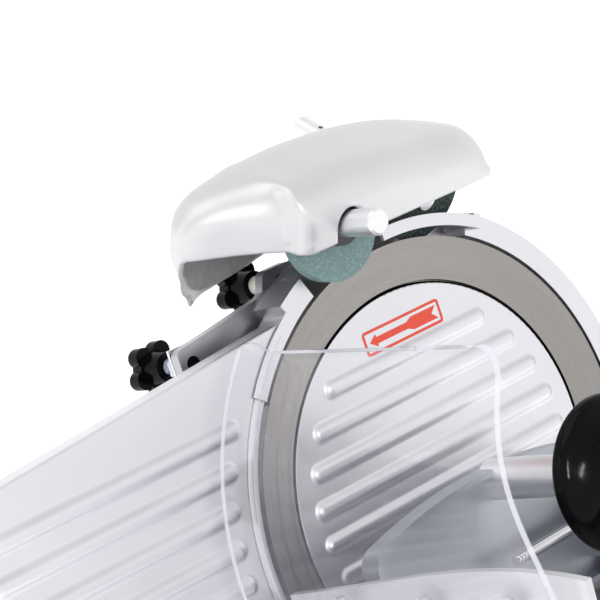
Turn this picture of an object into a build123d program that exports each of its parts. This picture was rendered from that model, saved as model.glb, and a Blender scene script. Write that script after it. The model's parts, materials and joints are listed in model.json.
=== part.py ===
from build123d import *
import math
import os

# Food slicer with an inclined round blade, in millimetres.
# Machine space: X runs along the carriage stroke, away from the operator, Y runs towards the
# slice side, Z is up from the table. X and Y count from the blade's centre until the last step.
# Blade space: x as in machine space, y up along the blade's face, z out of the blade's face.

# Blade and overall stance
BLADE_RADIUS = 125.0
BLADE_LEAN = 27.0
BLADE_CENTRE_HEIGHT = 205.0
COVER_RADIUS = 101.8
COVER_FACE = -5.0
RIB_PITCH = 18.1
RIB_WIDTH, RIB_RISE, RIB_TAPER = 10.8, 2.0, 50.0
RIB_ROUND, RIB_ROOT = 5.0, 3.5
COVER_RIB_TOP, COVER_RIB_ARC = 68.3, 91.0
CENTRE_X = 55.0
CENTRE_Y = 19.5

# Base casting
BASE_LEFT, BASE_RIGHT = -235.0, 180.0
BASE_FRONT, BASE_BACK = -95.0, 176.0
BASE_BOTTOM, DECK_TOP, CONSOLE_TOP = 14.0, 64.0, 78.0
CONSOLE_RIGHT, CONSOLE_BACK = -134.0, 65.0
BASE_CORNER = 34.0
BASE_WALL = 5.0
FOOT_RADIUS = 17.0
FOOT_PLACES = [(-203.0, -62.0), (148.0, -62.0), (-203.0, 143.0), (148.0, 143.0)]

# Drive train
HOUSING_FRONT, HOUSING_BACK = -22.0, -76.0
HOUSING_RADIUS = 60.0
NECK_RADIUS, NECK_DROP = 50.0, -140.0
MOTOR_DROP = -92.0
MOTOR_RADIUS = 36.0
HUMP_RADIUS, HUMP_END = 44.0, -160.0
BLADE_PULLEY_RADIUS, MOTOR_PULLEY_RADIUS = 32.0, 14.0
BELT_THICKNESS = 3.0
SHAFT_RADIUS = 12.0
BEARING_RADIUS = 23.5

# Ring guard
RING_INNER, RING_OUTER = 127.0, 139.3
RING_BACK = -16.0
NOTCH_START, NOTCH_END = 62.0, 113.5
LIMB_END = 140.0
RING_LOWER_END = -128.0

# Gauge plate and its index drive
GAUGE_LEFT, GAUGE_BOTTOM = -290.0, -88.0
GAUGE_FRONT, GAUGE_BACK = -1.0, -14.0
GAUGE_CORNER_RISE = 94.8
GAUGE_TOP_SLOPE = 0.0791
GAUGE_ARC = 133.3
GAUGE_RIB_ARC = 140.0
GAUGE_RIB_TOP, GAUGE_RIB_PITCH = 73.0, 18.4
GAUGE_TRAVEL = 12.0
SLIDER_Y, SLIDER_Z = -160.0, -45.0
GUIDE_ROD_X = [-170.0, -146.0]
CAM_START, CAM_TURN = 7.0, 300.0
FOLLOWER_RADIUS = 2.4

# Carriage
TRAY_TOP = -85.0
TRAY_LEFT, TRAY_RIGHT = -129.0, 106.0
TRAY_NEAR, TRAY_FAR = 4.0, 205.0
SHEET = 4.0
RAIL_Y, RAIL_Z, RAIL_RADIUS = -72.0, 38.0, 8.0
BLOCK_LEFT, BLOCK_RIGHT = -130.0, -74.0
ARM_LEFT, ARM_RIGHT = -122.0, -82.0
CARRIAGE_STROKE = 220.0

# Clear guard
GUARD_INNER, GUARD_OUTER, GUARD_FLANGE = 134.5, 138.5, 155.0
GUARD_TOP_ANGLE, GUARD_LOW_ANGLE = 132.5, 192.5

# Pusher
PUSHER_ROD = (88.0, -62.0)
PUSHER_ROD_RADIUS = 5.0
PUSHER_LEFT, PUSHER_RIGHT = -96.0, 66.0
PUSHER_SHOULDER, PUSHER_CREST = -8.0, 3.2
PUSHER_BACK, PUSHER_FLOOR, PUSHER_FRONT = 22.0, 26.0, 36.0
PUSHER_BRACE_AT = (-44.0, 41.0)
STEM = (2.5, -5.0)
STEM_RADIUS = 10.8
FLANGE_RADIUS = 39.5
HANDLE_START = 108.0

# Sharpener
FRONT_STONE_RADIUS, REAR_STONE_RADIUS = 29.2, 25.0
FRONT_STONE_TILT, REAR_STONE_TILT = 5.0, 33.5
FRONT_STONE_AT = (-34.0, 148.0, 12.0)
REAR_STONE_AT = (33.0, 140.04, 8.33)
FRONT_PIN_RADIUS, REAR_PIN_RADIUS = 6.9, 6.8
REAR_PIN_LENGTH, REAR_PIN_HOLE_AT = 94.0, 78.0
HOOD_RIM = 133.4
HOOD_WALL, HOOD_FOLD = 3.0, 8.0
SHARPENER_KNOB_AT = (-45.0, 125.5)
DEFLECTOR_KNOB_AT = (-114.0, 106.0)
SHARPENER_KNOB_SEAT, DEFLECTOR_KNOB_SEAT = -50.3, -48.8
KNOB_COLLAR, KNOB_THICKNESS = 10.0, 9.5

# Running clearance of a shaft or pin in its bore
FIT = 0.06

LOW = (Align.CENTER, Align.CENTER, Align.MIN)
LEAN_SINE = math.sin(math.radians(BLADE_LEAN))
LEAN_COSINE = math.cos(math.radians(BLADE_LEAN))
BLADE_PLANE = Plane(
    origin=(0, 0, BLADE_CENTRE_HEIGHT), x_dir=(1, 0, 0), z_dir=(0, -LEAN_COSINE, LEAN_SINE)
)


def lean(shape):
    """Move a shape from blade space to machine space."""
    return BLADE_PLANE.location * shape


def rod(radius, low, high, x=0.0, y=0.0):
    """Cylinder along Z between two heights."""
    return Pos(x, y, low) * Cylinder(radius, high - low, align=LOW)


def cross_rod(radius, left, right, y, z):
    """Cylinder along X between two places."""
    return Pos(left, y, z) * Rot(0, 90, 0) * Cylinder(radius, right - left, align=LOW)


def block(x0, x1, y0, y1, z0, z1):
    """Box between two corners."""
    return Pos((x0 + x1) / 2, (y0 + y1) / 2, (z0 + z1) / 2) * Box(x1 - x0, y1 - y0, z1 - z0)


def slab(sketch, low, high):
    """A flat outline made solid between two heights."""
    return Pos(0, 0, low) * extrude(sketch, amount=high - low)


def side_plane(x):
    """Plane across X, with local x along Y and local y along Z."""
    return Plane(origin=(x, 0, 0), x_dir=(0, 1, 0), z_dir=(1, 0, 0))


def side_slab(sketch, left, right):
    """An outline in Y and Z made solid between two places along X."""
    return extrude(side_plane(left) * sketch, amount=right - left)


def turned(points):
    """Solid of revolution about Z from radius and height pairs."""
    return revolve(Plane.XZ * make_face(Polyline(*points, close=True)), Axis.Z)


def ring_sector(inner, outer, start, end):
    """Flat piece of a ring between two angles."""
    far = CenterArc((0, 0), outer, start, end - start)
    near = CenterArc((0, 0), inner, start, end - start)
    return make_face([far, near, Line(near @ 0, far @ 0), Line(near @ 1, far @ 1)])


def on_circle(radius, angles):
    """Places on a circle about the origin."""
    turns = [math.radians(angle) for angle in angles]
    return [(radius * math.cos(turn), radius * math.sin(turn)) for turn in turns]


def star_head(lobes=5):
    """Star knob head with its collar, standing on Z zero."""
    outline = Circle(10.5)
    for x, y in on_circle(9.6, [90 + 360 / lobes * step for step in range(lobes)]):
        outline += Pos(x, y) * Circle(5.2)
    head = slab(outline, KNOB_COLLAR, KNOB_COLLAR + KNOB_THICKNESS)
    head = fillet(head.faces().sort_by(Axis.Z)[-1].edges(), 3.0)
    return head + Cone(7.8, 9.4, KNOB_COLLAR + 0.5, align=LOW)


def ribs_on(plate, face, spans):
    """Rounded ridges along X on a plate's face, each given by its height and its two ends."""
    for height, left, right in spans:
        outline = Pos((left + right) / 2, height) * SlotOverall(right - left, RIB_WIDTH)
        ridge = Pos(0, 0, face - 0.5) * extrude(outline, amount=RIB_RISE + 0.5, taper=RIB_TAPER)
        plate += fillet(ridge.faces().sort_by(Axis.Z)[-1].edges(), RIB_ROUND)
    roots = []
    for edge in plate.edges().filter_by_position(Axis.Z, face - 0.01, face + 0.01):
        middle = edge @ 0.5
        for height, left, right in spans:
            if abs(middle.Y - height) < RIB_WIDTH / 2 + 0.1 and left - 0.1 < middle.X < right + 0.1:
                roots.append(edge)
    return fillet(roots, RIB_ROOT)


def base_form(inset, drop, rounding):
    """Outer or inner form of the base: the deck and the raised console."""
    def storey(right, back, top):
        width = right - BASE_LEFT - 2 * inset
        depth = back - BASE_FRONT - 2 * inset
        plan = Pos((right + BASE_LEFT) / 2, (back + BASE_FRONT) / 2) * RectangleRounded(
            width, depth, BASE_CORNER - inset
        )
        solid = slab(plan, BASE_BOTTOM, top - drop)
        return fillet(solid.faces().sort_by(Axis.Z)[-1].edges(), rounding)

    deck = storey(BASE_RIGHT, BASE_BACK, DECK_TOP)
    console = storey(CONSOLE_RIGHT, CONSOLE_BACK, CONSOLE_TOP)
    return deck + console


def make_base():
    outer = base_form(0.0, 0.0, 9.0)
    casting = outer - base_form(BASE_WALL, 4.0, 5.0)
    rebate = Pos((BASE_LEFT + BASE_RIGHT) / 2, (BASE_FRONT + BASE_BACK) / 2) * RectangleRounded(
        BASE_RIGHT - BASE_LEFT - 5.0, BASE_BACK - BASE_FRONT - 5.0, BASE_CORNER - 2.5
    )
    casting -= slab(rebate, BASE_BOTTOM, BASE_BOTTOM + 2.0)
    # Lugs that hold the ends of the carriage rail
    for left in (-226.0, 154.0):
        lug = block(left, left + 15, BASE_FRONT, RAIL_Y + 13, RAIL_Z - 12, DECK_TOP)
        casting += lug & outer
    # Lugs that hold the ends of the gauge guide rods
    for low, lug_top in ((-16.0, -130.0), (-92.0, -105.0)):
        lug = lean(block(-181, -135, SLIDER_Y - 8, lug_top, low, low + 8))
        casting += (lug & outer) - block(-300, 0, -100, 100, 0, BASE_BOTTOM + 3)
    casting -= make_slide_rod()
    casting -= make_guide_rods()
    # Slot for the carriage arm, opening under the motor, slot for the gauge arm
    slot_right = ARM_RIGHT + CARRIAGE_STROKE + 4
    casting -= block(ARM_LEFT - 4, slot_right, BASE_FRONT - 5, BASE_FRONT + 10, 28, 52)
    casting -= block(-40, 40, -5, 100, DECK_TOP - 10, DECK_TOP + 5)
    casting -= block(-167, -149, -41, 5, CONSOLE_TOP - 10, CONSOLE_TOP + 5)
    # Dial bore, switch opening, cord inlet bore
    dial_y, dial_z = dial_axis()
    casting -= cross_rod(5.0 + FIT, BASE_LEFT - 5, BASE_LEFT + 10, dial_y, dial_z)
    casting -= block(BASE_LEFT - 5, BASE_LEFT + 10, 8, 52, 30.5, 49.5)
    casting -= Pos(110, BASE_BACK + 5, 38) * Rot(90, 0, 0) * Cylinder(8.0, 20, align=LOW)
    return casting


def make_bottom_plate():
    plan = Pos((BASE_LEFT + BASE_RIGHT) / 2, (BASE_FRONT + BASE_BACK) / 2) * RectangleRounded(
        BASE_RIGHT - BASE_LEFT - 5.4, BASE_BACK - BASE_FRONT - 5.4, BASE_CORNER - 2.7
    )
    plate = slab(plan, BASE_BOTTOM, BASE_BOTTOM + 2)
    # Louvres under the motor
    for step in range(7):
        plate -= Pos(0, 40 + 12 * step, BASE_BOTTOM) * Box(60, 5, 10)
    for x, y in FOOT_PLACES:
        plate -= rod(2.5, BASE_BOTTOM - 5, BASE_BOTTOM + 5, x, y)
    return plate


def make_feet():
    foot = turned([(3, 9), (3, 14), (FOOT_RADIUS - 2, 14), (FOOT_RADIUS, 0), (7, 0), (7, 9)])
    return [Pos(x, y, 0) * foot for x, y in FOOT_PLACES]


def make_foot_screws():
    screw = rod(6, 5.5, 9) + rod(2.5, 9, 18.5) + rod(4.5, 16, 18.5)
    return [Pos(x, y, 0) * screw for x, y in FOOT_PLACES]


def neck_outline(inset):
    return make_hull(
        [
            CenterArc((0, 0), HOUSING_RADIUS - inset, 0, 360),
            CenterArc((0, NECK_DROP), NECK_RADIUS - inset, 0, 360),
        ]
    )


def ring_screw_places():
    return on_circle(51.0, [-62, -12, 38])


def cover_screw_places():
    return on_circle(41.2, [45, 135, 180, 0])


def make_drive_housing():
    neck = slab(neck_outline(0), HOUSING_BACK, HOUSING_FRONT)
    neck = fillet(neck.faces().sort_by(Axis.Z)[0].edges(), 6.0)
    hump = rod(HUMP_RADIUS, HUMP_END, HOUSING_BACK, 0, MOTOR_DROP)
    hump = fillet(hump.faces().sort_by(Axis.Z)[0].edges(), 14.0)
    casting = neck + hump
    chamber = slab(neck_outline(6), HOUSING_BACK + 4, HOUSING_FRONT - 6)
    chamber -= rod(30, HOUSING_FRONT - 26, HOUSING_FRONT)
    casting -= chamber
    casting -= rod(HUMP_RADIUS - 6, HUMP_END + 4, HOUSING_BACK + 10, 0, MOTOR_DROP)
    casting -= rod(38, HOUSING_BACK - 5, HOUSING_BACK + 10)
    casting -= rod(BEARING_RADIUS, HOUSING_FRONT - 27, HOUSING_FRONT + 5)
    for x, y in ring_screw_places():
        casting -= rod(2.5, HOUSING_FRONT - 7, HOUSING_FRONT + 5, x, y)
    for x, y in cover_screw_places():
        casting -= rod(2.0, HOUSING_BACK - 5, HOUSING_BACK + 8, x, y)
    below = block(-90, 90, -150, 250, -50, DECK_TOP)
    return lean(casting) - below


def make_rear_cover():
    cover = rod(46, HOUSING_BACK - 4, HOUSING_BACK)
    cover = fillet(cover.faces().sort_by(Axis.Z)[0].edges(), 2.0)
    cover -= rod(4.15, HOUSING_BACK - 5, HOUSING_BACK + 1)
    for x, y in cover_screw_places():
        cover -= rod(2.0, HOUSING_BACK - 5, HOUSING_BACK + 1, x, y)
    return lean(cover)


def make_housing_screws():
    screws = []
    for x, y in cover_screw_places():
        head = rod(4, HOUSING_BACK - 7, HOUSING_BACK - 4, x, y)
        screws.append(head + rod(2.0, HOUSING_BACK - 4, HOUSING_BACK + 6, x, y))
    for x, y in ring_screw_places():
        head = rod(4.5, RING_BACK - 3.5, RING_BACK - 0.4, x, y)
        screws.append(head + rod(2.5, HOUSING_FRONT - 6, RING_BACK - 3.5, x, y))
    return [lean(screw) for screw in screws]


def make_motor():
    front = HOUSING_BACK + 3.6
    body = turned(
        [
            (5.2, front), (HUMP_RADIUS - 6.05, front), (HUMP_RADIUS - 6.05, front - 6),
            (MOTOR_RADIUS, front - 6), (MOTOR_RADIUS, -136), (MOTOR_RADIUS - 6, -146),
            (16, -150), (5.2, -150),
        ]
    )
    for step in range(6):
        low = -130 + 8 * step
        body -= rod(MOTOR_RADIUS + 1, low, low + 3) - rod(MOTOR_RADIUS - 2.5, low, low + 3)
    return lean(Pos(0, MOTOR_DROP, 0) * body)


def make_motor_shaft():
    return lean(rod(5, -154, -50, 0, MOTOR_DROP))


def pulley(radius, bore, low, high):
    """Flanged belt pulley."""
    return turned(
        [
            (bore, low), (radius + 3.6, low), (radius + 3.6, low + 1), (radius, low + 1.2),
            (radius, high - 1.2), (radius + 3.6, high - 1), (radius + 3.6, high), (bore, high),
        ]
    )


def make_motor_pulley():
    return lean(Pos(0, MOTOR_DROP, 0) * pulley(MOTOR_PULLEY_RADIUS, 5.0, -66.5, -50.5))


def make_blade_pulley():
    return lean(pulley(BLADE_PULLEY_RADIUS, SHAFT_RADIUS, -66.5, -50.5))


def belt_outline(lift):
    return make_hull(
        [
            CenterArc((0, 0), BLADE_PULLEY_RADIUS + lift, 0, 360),
            CenterArc((0, MOTOR_DROP), MOTOR_PULLEY_RADIUS + lift, 0, 360),
        ]
    )


def make_belt():
    gap = 0.35
    return lean(slab(belt_outline(gap + BELT_THICKNESS) - belt_outline(gap), -64.5, -52.5))


def make_bearings():
    bearing = turned(
        [
            (SHAFT_RADIUS + FIT, -5.5), (16.5, -5.5), (17, -4.5), (19, -4.5), (19.5, -5.5),
            (BEARING_RADIUS - 0.02, -5.5), (BEARING_RADIUS - 0.02, 5.5), (19.5, 5.5), (19, 4.5),
            (17, 4.5), (16.5, 5.5), (SHAFT_RADIUS + FIT, 5.5),
        ]
    )
    return [lean(Pos(0, 0, middle) * bearing) for middle in (-28.5, -41.5)]


def make_hub():
    hub = turned(
        [
            (5.6, -70), (SHAFT_RADIUS, -70), (SHAFT_RADIUS, -19), (40, -19), (40, -13),
            (13, -13), (13, -9.8), (10.5, -9.8), (10.5, -16), (5.6, -16),
        ]
    )
    for x, y in blade_screw_places():
        hub -= rod(2.5, -20, -10, x, y)
    return lean(hub)


def blade_screw_places():
    return on_circle(28.0, [30, 150, 270])


def make_blade_screws():
    screw = rod(2.5, -18.5, -12) + Pos(0, 0, -12) * Cone(2.5, 4.8, 2.3, align=LOW)
    return [lean(Pos(x, y, 0) * screw) for x, y in blade_screw_places()]


def make_blade():
    body = turned(
        [
            (13.05, -9.5), (102.6, -9.5), (102.6, COVER_FACE), (BLADE_RADIUS, 0),
            (BLADE_RADIUS, -0.3), (119, -4.05), (107, -8.2), (103.5, -13), (13.05, -13),
        ]
    )
    for x, y in blade_screw_places():
        body -= rod(2.5, -14, -9, x, y)
        body -= Pos(x, y, -12) * Cone(2.5, 5.1, 2.6, align=LOW)
    return lean(body)


def make_blade_cover():
    disc = rod(COVER_RADIUS, COVER_FACE - 3.3, COVER_FACE)
    disc = fillet(disc.edges().sort_by(Axis.Z)[-1], 1.5)
    disc += rod(9.5, -15, COVER_FACE - 3)
    disc -= rod(4.05, -16, COVER_FACE - 2)
    spans = []
    for step in range(9):
        height = COVER_RIB_TOP - RIB_PITCH * step
        half = math.sqrt(COVER_RIB_ARC**2 - height**2)
        spans.append((height, -half, half))
    return lean(ribs_on(disc, COVER_FACE, spans))


def make_cover_knob():
    """Star knob at the back, with the tie rod that holds the cover through the hollow shaft."""
    head = Pos(0, 0, -84) * Rot(180, 0, 0) * star_head()
    return lean(head + rod(4.0, -86, -9.5))


def make_ring_guard():
    ring = slab(ring_sector(42, RING_OUTER, RING_LOWER_END, NOTCH_START), HOUSING_FRONT, RING_BACK)
    ring += slab(ring_sector(RING_INNER, RING_OUTER, RING_LOWER_END, NOTCH_START), RING_BACK, 0)
    # Bridge behind the stones and the left limb, slimmer beside the gauge plate
    ring += slab(ring_sector(112, RING_OUTER, NOTCH_START - 1, 121.5), HOUSING_FRONT, RING_BACK)
    ring += slab(ring_sector(112, GAUGE_ARC - 1, 121, LIMB_END), HOUSING_FRONT, RING_BACK)
    ring += slab(ring_sector(RING_INNER, RING_OUTER, NOTCH_END, 121.5), RING_BACK, 0)
    ring += slab(ring_sector(RING_INNER, GAUGE_ARC - 1, 121, LIMB_END), RING_BACK, 0)
    for x, y in ring_screw_places():
        ring -= rod(2.5, HOUSING_FRONT - 1, RING_BACK + 1, x, y)
        ring -= rod(4.6, RING_BACK - 3.5, RING_BACK + 1, x, y)
    return lean(ring)


def make_stone_strap():
    """Strap in front of the rear stone, on a foot against the end of the notch."""
    strap = slab(ring_sector(129.3, 135.8, NOTCH_START, 92), 9.2, 11.5)
    foot = slab(ring_sector(129.3, 137.0, NOTCH_START, NOTCH_START + 2), -12, 11.5)
    return lean(strap + foot)


def make_knob_bracket():
    outline = make_face(
        FilletPolyline(
            (-122, 98), (-122, 115), (-100, 117.5), (-60, 123), (-55, 134), (-35, 134),
            (-35, 112), (-60, 96), (-92, 80), (-104, 92), radius=4.0, close=True,
        )
    )
    bar = slab(outline, -34, -28)
    bar += slab(ring_sector(114, 138, 114, 121), -29, HOUSING_FRONT)
    for x, y in (SHARPENER_KNOB_AT, DEFLECTOR_KNOB_AT):
        bar -= rod(4.0 + FIT, -36, -26, x, y)
    return lean(bar)


def make_knob_spacers():
    x, y = DEFLECTOR_KNOB_AT
    nut = rod(7.0, -42.4, -39.4, x, y)
    spacer = rod(6.0, -39.2, -36.2, x, y)
    far_x, far_y = SHARPENER_KNOB_AT
    sleeve = rod(5.0, SHARPENER_KNOB_SEAT + 0.3, -40.4, far_x, far_y)
    pieces = [nut - rod(4.1, -60, -20, x, y), spacer - rod(4.1, -60, -20, x, y)]
    pieces.append(sleeve - rod(4.1, -60, -20, far_x, far_y))
    return [lean(piece) for piece in pieces]


def make_stud_knob(place, seat):
    """Star knob with its stud, screwed into the bracket from behind."""
    x, y = place
    head = Pos(x, y, seat) * Rot(180, 0, 0) * star_head()
    return lean(head + rod(4.0, seat - 2, -28, x, y))


def make_deflector():
    sheet = 1.6
    back = -34.4 - sheet
    turn = math.radians(50)
    bend = 60.0
    low = (-30 - bend * math.sin(turn), back - bend + bend * math.cos(turn))
    middle = (-30 - bend * math.sin(turn / 2), back - bend + bend * math.cos(turn / 2))
    path = Line((116, back), (-30, back)) + ThreePointArc((-30, back), middle, low)
    outside = bend + sheet
    far_low = (-30 - outside * math.sin(turn), back - bend + outside * math.cos(turn))
    far_middle = (-30 - outside * math.sin(turn / 2), back - bend + outside * math.cos(turn / 2))
    path += Line(low, far_low)
    path += ThreePointArc(far_low, far_middle, (-30, back + sheet))
    path += Line((-30, back + sheet), (116, back + sheet)) + Line((116, back + sheet), (116, back))
    plate = side_slab(make_face(path), -122, -66)
    x, y = DEFLECTOR_KNOB_AT
    plate -= rod(4.2, -50, -20, x, y)
    return lean(plate)


def gauge_outline():
    def top(x):
        return GAUGE_CORNER_RISE + GAUGE_TOP_SLOPE * (x - GAUGE_LEFT)

    sheet = make_face(
        Polyline(
            (GAUGE_LEFT, GAUGE_BOTTOM), (GAUGE_LEFT, top(GAUGE_LEFT)), (-60, top(-60)),
            (-60, GAUGE_BOTTOM), close=True,
        )
    )
    sheet -= Circle(GAUGE_ARC)
    return fillet(sheet.vertices().sort_by(Axis.X)[:2], 14.0)


def make_gauge_plate():
    outline = gauge_outline()
    plate = slab(outline, GAUGE_BACK, GAUGE_FRONT)
    plate = fillet(plate.faces().sort_by(Axis.Z)[-1].edges(), 1.5)
    plate -= slab(offset(outline, -4.0), GAUGE_BACK - 1, GAUGE_FRONT - 5)
    spans = []
    for step in range(9):
        height = GAUGE_RIB_TOP - GAUGE_RIB_PITCH * step
        spans.append((height, GAUGE_LEFT + 9, -math.sqrt(GAUGE_RIB_ARC**2 - height**2)))
    return lean(ribs_on(plate, GAUGE_FRONT, spans))


def make_gauge_support():
    seat = GAUGE_FRONT - 5
    outline = make_face(
        Polyline(
            (SLIDER_Y + 11, -56), (SLIDER_Y + 11, -34), (-66, seat - 3.5), (10, seat - 3.5),
            (10, -15), (-60, -27), close=True,
        )
    )
    arm = side_slab(outline, -164, -152)
    pad = slab(Pos(-170, -28) * RectangleRounded(54, 78, 10), seat - 4, seat)
    return lean(arm + pad)


def make_gauge_slider():
    slider = block(-179, -137, SLIDER_Y - 11, SLIDER_Y + 11, SLIDER_Z - 14, SLIDER_Z + 14)
    slider = fillet(slider.edges().filter_by(Axis.X), 3.0)
    for x in GUIDE_ROD_X:
        slider -= rod(5.0 + FIT, SLIDER_Z - 20, SLIDER_Z + 20, x, SLIDER_Y)
    return lean(slider)


def make_follower():
    pin = cross_rod(FOLLOWER_RADIUS, -187.6, -179, SLIDER_Y, SLIDER_Z)
    return lean(pin + cross_rod(4.5, -181.5, -179, SLIDER_Y, SLIDER_Z))


def make_guide_rods():
    return [lean(rod(5.0, -90, -10, x, SLIDER_Y)) for x in GUIDE_ROD_X]


def dial_axis():
    """Machine Y and Z of the dial's axis, in front of the follower."""
    out = SLIDER_Z + CAM_START
    y = SLIDER_Y * LEAN_SINE - out * LEAN_COSINE
    z = BLADE_CENTRE_HEIGHT + SLIDER_Y * LEAN_COSINE + out * LEAN_SINE
    return y, z


def cam_groove():
    """Spiral that moves the follower by the gauge travel over the dial's turn."""
    half = FOLLOWER_RADIUS + 0.15

    def point(turn, side):
        reach = CAM_START + GAUGE_TRAVEL * turn / CAM_TURN + side * half
        angle = math.radians(-90 - turn)
        return (reach * math.cos(angle), reach * math.sin(angle))

    steps = 15
    turns = [CAM_TURN * step / steps for step in range(steps + 1)]
    inner = Spline([point(turn, -1) for turn in turns])
    outer = Spline([point(turn, 1) for turn in turns])
    groove = make_face([inner, outer, Line(inner @ 0, outer @ 0), Line(inner @ 1, outer @ 1)])
    for turn in (0, CAM_TURN):
        groove += Pos(*point(turn, 0)) * Circle(half)
    return groove


def make_cam():
    axis_z = SLIDER_Z + CAM_START
    disc = cross_rod(24, -190, -183, 0, 0) + cross_rod(11, -200, -190, 0, 0)
    disc -= side_slab(cam_groove(), -188, -182)
    disc -= cross_rod(5.0, -201, -188.3, 0, 0)
    return lean(Pos(0, SLIDER_Y, axis_z) * disc)


def make_dial_shaft():
    y, z = dial_axis()
    return cross_rod(5.0, -252, -188.3, y, z)


def make_dial():
    y, z = dial_axis()
    skirt = turned([(0, 0), (31, 0), (31, 3), (28, 7), (0, 7)])
    grip = rod(24, 6, 26)
    for x, flute_y in on_circle(27.0, [30 * step for step in range(12)]):
        grip -= rod(5.0, 9, 30, x, flute_y)
    grip = fillet(grip.faces().sort_by(Axis.Z)[-1].edges(), 1.5)
    knob = skirt + grip - rod(5.0, -1, 14)
    return Pos(BASE_LEFT - 3, y, z) * Rot(0, -90, 0) * knob


def make_slide_rod():
    return cross_rod(RAIL_RADIUS, -222, 166, RAIL_Y, RAIL_Z)


def make_guide_bar():
    return block(-132, 170, -56, -48, BASE_BOTTOM + 2, BASE_BOTTOM + 10)


def make_slide_block():
    body = block(BLOCK_LEFT, BLOCK_RIGHT, -86, -58, 26, 50)
    body = fillet(body.edges().filter_by(Axis.X), 4.0)
    body += block(BLOCK_LEFT, BLOCK_RIGHT, -62, -44, 19, 32)
    body -= block(BLOCK_LEFT - 1, BLOCK_RIGHT + 1, -56.4, -47.6, 10, 24.6)
    body -= cross_rod(RAIL_RADIUS + 3, BLOCK_LEFT - 1, BLOCK_RIGHT + 1, RAIL_Y, RAIL_Z)
    return body


def make_bushes():
    length = 16.0
    bushes = []
    for left in (BLOCK_LEFT, BLOCK_RIGHT - length):
        bush = cross_rod(RAIL_RADIUS + 2.98, left, left + length, RAIL_Y, RAIL_Z)
        bushes.append(bush - cross_rod(RAIL_RADIUS + FIT, left, left + length, RAIL_Y, RAIL_Z))
    return bushes


def tray_underside(y):
    """Machine Z of the tray's underside at a machine Y."""
    out = (TRAY_TOP - SHEET) * LEAN_SINE - y
    out /= LEAN_COSINE
    return BLADE_CENTRE_HEIGHT + (TRAY_TOP - SHEET) * LEAN_COSINE + out * LEAN_SINE


def make_carriage_arm():
    outline = make_face(
        Polyline(
            (-86, 31), (-150, 31), (-166, 47), (-166, tray_underside(-166)),
            (-132, tray_underside(-132)), (-132, 150), (-142, 130), (-142, 56), (-135, 49), (-86, 49),
            close=True,
        )
    )
    arm = side_slab(outline, ARM_LEFT, ARM_RIGHT)
    middle = (ARM_LEFT + ARM_RIGHT) / 2
    arm -= Pos(middle, -160, 70) * Rot(90, 0, 0) * Cylinder(4.0 + FIT, 40)
    return arm


def make_carriage_knob():
    middle = (ARM_LEFT + ARM_RIGHT) / 2
    knob = star_head() + rod(4.0, -20, 1)
    return Pos(middle, -166.4, 70) * Rot(90, 0, 0) * knob


def make_tray():
    floor = block(TRAY_LEFT, TRAY_RIGHT, TRAY_TOP - SHEET, TRAY_TOP, TRAY_NEAR, TRAY_FAR)
    floor += block(TRAY_LEFT, TRAY_RIGHT, TRAY_TOP - SHEET, TRAY_TOP + 10, TRAY_FAR - SHEET, TRAY_FAR)
    for step in range(8):
        x = TRAY_LEFT + 30 + 24 * step
        floor += block(x - 3, x + 3, TRAY_TOP - 1, TRAY_TOP + 0.8, TRAY_NEAR + 6, TRAY_FAR - 14)
    crest = Spline((-12, TRAY_NEAR + 2), (-5.5, 80), (-1.2, 168), (-6, 212))
    foot_near = (TRAY_TOP - SHEET, TRAY_NEAR + 2)
    foot_far = (TRAY_TOP - SHEET, TRAY_FAR)
    edges = crest + Line(crest @ 1, foot_far) + Line(foot_far, foot_near) + Line(foot_near, crest @ 0)
    wall = side_slab(make_face(edges), TRAY_LEFT, TRAY_LEFT + SHEET)
    tray = floor + wall
    x, y = PUSHER_ROD
    for low in (6.0, 195.0):
        post = Pos(x, y) * Circle(10) + Pos(x, (y + TRAY_TOP) / 2) * Rectangle(20, TRAY_TOP - y)
        tray += slab(post, low, low + 8)
    tray -= rod(PUSHER_ROD_RADIUS, 10, 199, x, y)
    for place in guard_screw_places():
        tray -= cross_rod(2.5, TRAY_LEFT - 5, TRAY_LEFT + 10, *place)
    return lean(tray)


def guard_screw_places():
    return [(-17.0, height) for height in (45.0, 105.0, 160.0)]


def make_guard():
    wall = slab(ring_sector(GUARD_INNER, GUARD_OUTER, 128, GUARD_LOW_ANGLE), 4.5, 199)
    crest = Line((101, 6), (94, 157))
    shoulder = ThreePointArc((94, 157), (90.6, 170.6), (80, 178.5))
    sweep_points = [(80, 178.5), (61, 180.8), (38, 185.2), (4, 195), (-45, 198)]
    sweep_edge = Spline(sweep_points, tangents=[(-1, 0.1), (-1, 0)])
    corners = [(-45, 198), (-45, 230), (130, 230), (130, 6), (101, 6)]
    edges = crest + shoulder + sweep_edge
    for start, end in zip(corners, corners[1:]):
        edges += Line(start, end)
    wall -= side_slab(make_face(edges), -170, -60)
    flange = ring_sector(GUARD_INNER, GUARD_FLANGE, GUARD_TOP_ANGLE, GUARD_LOW_ANGLE)
    corner = flange.vertices().sort_by(Axis.Y)[-1]
    flange = fillet(corner, 9.0)
    guard = wall + slab(flange, 4.5, 8.5)
    for place in guard_screw_places():
        guard -= cross_rod(2.6, TRAY_LEFT - 15, TRAY_LEFT, *place)
    return lean(guard)


def make_guard_screws():
    screws = []
    for place in guard_screw_places():
        screw = cross_rod(5.5, TRAY_LEFT - 13, TRAY_LEFT - 9.4, *place)
        screw += cross_rod(2.5, TRAY_LEFT - 10, TRAY_LEFT + 8, *place)
        screw += cross_rod(4.5, TRAY_LEFT - 3.4, TRAY_LEFT, *place)
        screw += cross_rod(4.5, TRAY_LEFT + SHEET, TRAY_LEFT + SHEET + 3.5, *place)
        screws.append(lean(screw))
    return screws


def make_pusher_rod():
    return lean(rod(PUSHER_ROD_RADIUS, 10, 199, *PUSHER_ROD))


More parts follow.
